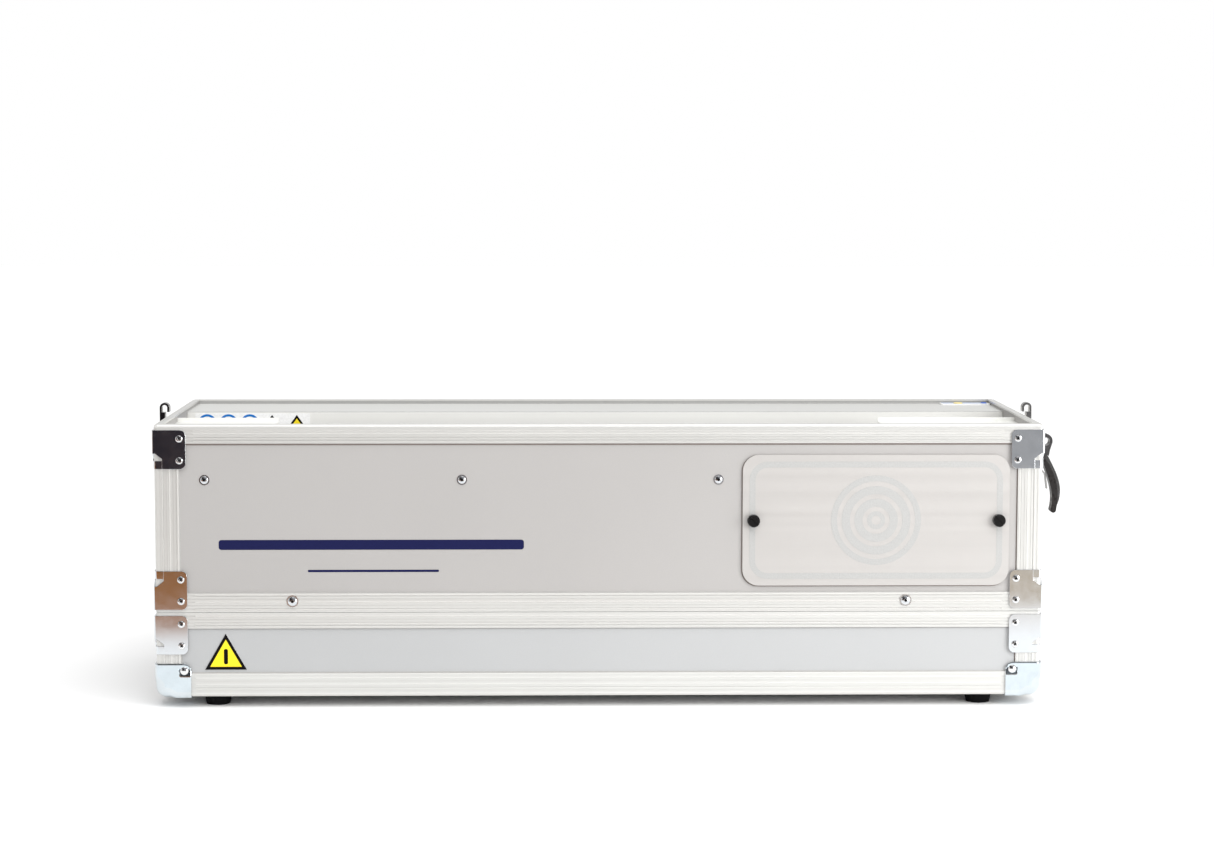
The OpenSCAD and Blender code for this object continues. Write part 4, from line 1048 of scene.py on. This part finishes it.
# Painted shade along the joints between the panels and the posts: a dark shadow on the right and
# a pale line on the left
JOINT_W = 1.2
for name, key, sx in (("left_joints", "painted_shade_pale", -1), ("right_joints", "painted_shadow_dark", 1)):
    bm = bmesh.new()
    for sy in (-1, 1):
        for z0, z1 in POST_SPANS:
            x = sorted((sx * (HALF_W - POST_W), sx * (HALF_W - POST_W - JOINT_W)))
            y = sorted((sy * -PANEL_Y, sy * (-PANEL_Y + PAINTED_STRIP_PROUD)))
            add_bar(bm, (x[0], y[0], z0), (x[1], y[1], z1), PAINTED_STRIP_CHAMFER, (sy, "Y"))
    new_piece(name, bm, key, "case")

# Painted highlight: a bright bar along the rim's outer edge
RIM_HIGHLIGHT, RIM_HIGHLIGHT_CHAMFER = 1.2, 0.8
RIM_HIGHLIGHT_Z0, RIM_HIGHLIGHT_Z1 = RIM_Z - 2.8, RIM_Z - 0.5
RIM_HIGHLIGHT_END = 4.0
bm = bmesh.new()
around(
    bm,
    RIM_HIGHLIGHT_Z0,
    RIM_HIGHLIGHT_Z1,
    RIM_HIGHLIGHT,
    HALF_W - RIM_HIGHLIGHT,
    HALF_D - RIM_HIGHLIGHT,
    HALF_W - RIM_HIGHLIGHT_END,
    HALF_D - RIM_HIGHLIGHT_END,
    RIM_HIGHLIGHT_CHAMFER,
)
new_piece("rim_painted_highlight", bm, "rim_highlight_alu", "case")


def back_sheet(name, half, y0, y1, z0, z1, key):
    """A thin upright sheet that faces the front, half wide either side of the middle"""
    bm = bmesh.new()
    add_bar(bm, (-half, y0, z0), (half, y1, z1), PAINTED_STRIP_CHAMFER, (-1, "Y"))
    new_piece(name, bm, key, "case")


# Painted light over the channel's rear wall, a bright sheet, and painted shade inside the rear
# rim above it, a grey sheet
LIT_SHEET_X, LIT_SHEET_Z0, LIT_SHEET_Z1 = 479.0, 262.5, DECK_Z - 1.0
LIT_SHEET_Y0, LIT_SHEET_Y1 = CHANNEL_Y - 0.2, CHANNEL_Y + 0.1
RIM_SHADE_X, RIM_SHADE_Z0, RIM_SHADE_Z1 = 479.6, DECK_Z + 0.1, RIM_Z - 0.4
RIM_SHADE_Y0, RIM_SHADE_T = 161.7, 0.3
back_sheet(
    "channel_painted_light_sheet",
    LIT_SHEET_X,
    LIT_SHEET_Y0,
    LIT_SHEET_Y1,
    LIT_SHEET_Z0,
    LIT_SHEET_Z1,
    "channel_painted_light",
)
# Painted shade: a grey sheet inside the rear rim
back_sheet(
    "rim_painted_shade_sheet",
    RIM_SHADE_X,
    RIM_SHADE_Y0,
    RIM_SHADE_Y0 + RIM_SHADE_T,
    RIM_SHADE_Z0,
    RIM_SHADE_Z1,
    "rim_shade_grey",
)


# ---------------------------------------------------------------- floor and light

floor_material = Shader("floor").set(roughness=0.9, specular_ior_level=0.1)
floor_tone = floor_material.noise(1.5, 2.0)
floor_material.color(
    floor_material.ramp(floor_tone, [(0.3, (0.955, 0.955, 0.955)), (0.7, (0.97, 0.97, 0.97))])
)


def stage_plane(name, x0, x1, y0, y1, z, material):
    mesh = bpy.data.meshes.new(name)
    mesh.from_pydata([(x0, y0, z), (x1, y0, z), (x1, y1, z), (x0, y1, z)], [], [(0, 1, 2, 3)])
    plane = add_object(name, mesh)
    plane.data.materials.append(material)
    return plane


def only_in_reflections(obj):
    obj.visible_camera = False
    obj.visible_diffuse = False
    obj.visible_shadow = False


# What polished metal reflects, in metres: a card on the floor in front of the set, dark far
# off, then the colour of wood, then pale as it comes nearer
CARD_FAR, CARD_NEAR = -2.6, -0.25
CARD_LEFT_X, CARD_RIGHT_X = -0.75, 0.85
CARD_END, CARD_HALF, CARD_Z = -7.0, 4.0, 0.001
CARD_PALE = (0.90, 0.93, 0.95)
CARD_DARK_LEFT, CARD_WOOD_LEFT = (0.025, 0.022, 0.028), (0.29, 0.112, 0.031)
CARD_DARK_RIGHT, CARD_WOOD_RIGHT = (0.37, 0.375, 0.39), (0.42, 0.385, 0.32)
CARD_LEFT = (
    (0.357, CARD_DARK_LEFT),
    (0.554, CARD_WOOD_LEFT),
    (0.80, CARD_WOOD_LEFT),
    (0.85, CARD_PALE),
)
CARD_RIGHT = (
    (0.357, CARD_DARK_RIGHT),
    (0.554, CARD_WOOD_RIGHT),
    (0.72, CARD_WOOD_RIGHT),
    (0.76, CARD_PALE),
)


def mirror_card():
    s = Shader("studio_front").set(roughness=0.9, specular_ior_level=0.0)
    across = s.along("X", CARD_LEFT_X, CARD_RIGHT_X)
    away = s.along("Y", CARD_FAR, CARD_NEAR)
    s.color(s.mix(across, s.ramp(away, CARD_LEFT), s.ramp(away, CARD_RIGHT)))
    card = stage_plane(
        "studio_front", -CARD_HALF, CARD_HALF, CARD_END, CARD_NEAR, CARD_Z, s.material
    )
    only_in_reflections(card)


# Behind the camera a tall board with a ceiling that comes forward, both dark to the left
BOARD_LEFT = (0.02, 0.018, 0.022)
BOARD_RIGHT = (0.25, 0.26, 0.28)
BOARD_LEFT_X, BOARD_RIGHT_X = -2.0, 2.5
BOARD_HALF, BOARD_Y, BOARD_H, CEILING_Y = 9.0, -7.0, 6.0, -1.5


def mirror_board():
    s = Shader("studio_board").set(roughness=0.9, specular_ior_level=0.0)
    cloud = s.noise(0.7, 2.0)
    right = s.ramp(cloud, [(0.4, shade(BOARD_RIGHT, 0.8)), (0.6, BOARD_RIGHT)])
    s.color(s.mix(s.along("X", BOARD_LEFT_X, BOARD_RIGHT_X), BOARD_LEFT, right))
    mesh = bpy.data.meshes.new("studio_board")
    edges = ((BOARD_Y, 0.0), (BOARD_Y, BOARD_H), (CEILING_Y, BOARD_H))
    places = [(x, y, z) for y, z in edges for x in (-BOARD_HALF, BOARD_HALF)]
    mesh.from_pydata(places, [], [(0, 1, 3, 2), (2, 3, 5, 4)])
    board = add_object("studio_board", mesh)
    board.data.materials.append(s.material)
    only_in_reflections(board)


# Strength of the sky where it isn't seen directly, and half the floor's width in metres
SKY = 0.73
FLOOR = 14.0
make_camera()
stage_plane("floor", -FLOOR, FLOOR, -FLOOR, FLOOR, 0.0, floor_material.material)
mirror_card()
mirror_board()

world = bpy.data.worlds.new("world")
bpy.context.scene.world = world
world.use_nodes = True
sky = world.node_tree.nodes["Background"]
sky.inputs["Color"].default_value = (1.0, 1.0, 1.0, 1.0)
seen = world.node_tree.nodes.new("ShaderNodeLightPath").outputs["Is Camera Ray"]
strength = world.node_tree.nodes.new("ShaderNodeMapRange")
strength.inputs["To Min"].default_value = SKY
strength.inputs["To Max"].default_value = 1.0
world.node_tree.links.new(seen, strength.inputs["Value"])
world.node_tree.links.new(strength.outputs["Result"], sky.inputs["Strength"])
bpy.context.scene.view_settings.view_transform = "Standard"
bpy.context.scene.view_settings.look = "None"

middle = at(0, 0, 150)
make_light("overhead", at(300, -200, 2600), middle, (3.0, 1.2), 4.0)
make_light("key_right", at(1800, -1500, 560), middle, (1.2, 1.2), 31.0)
make_sun("soft_front", at(500, -2200, 3370), middle, 50.0, 1.6)
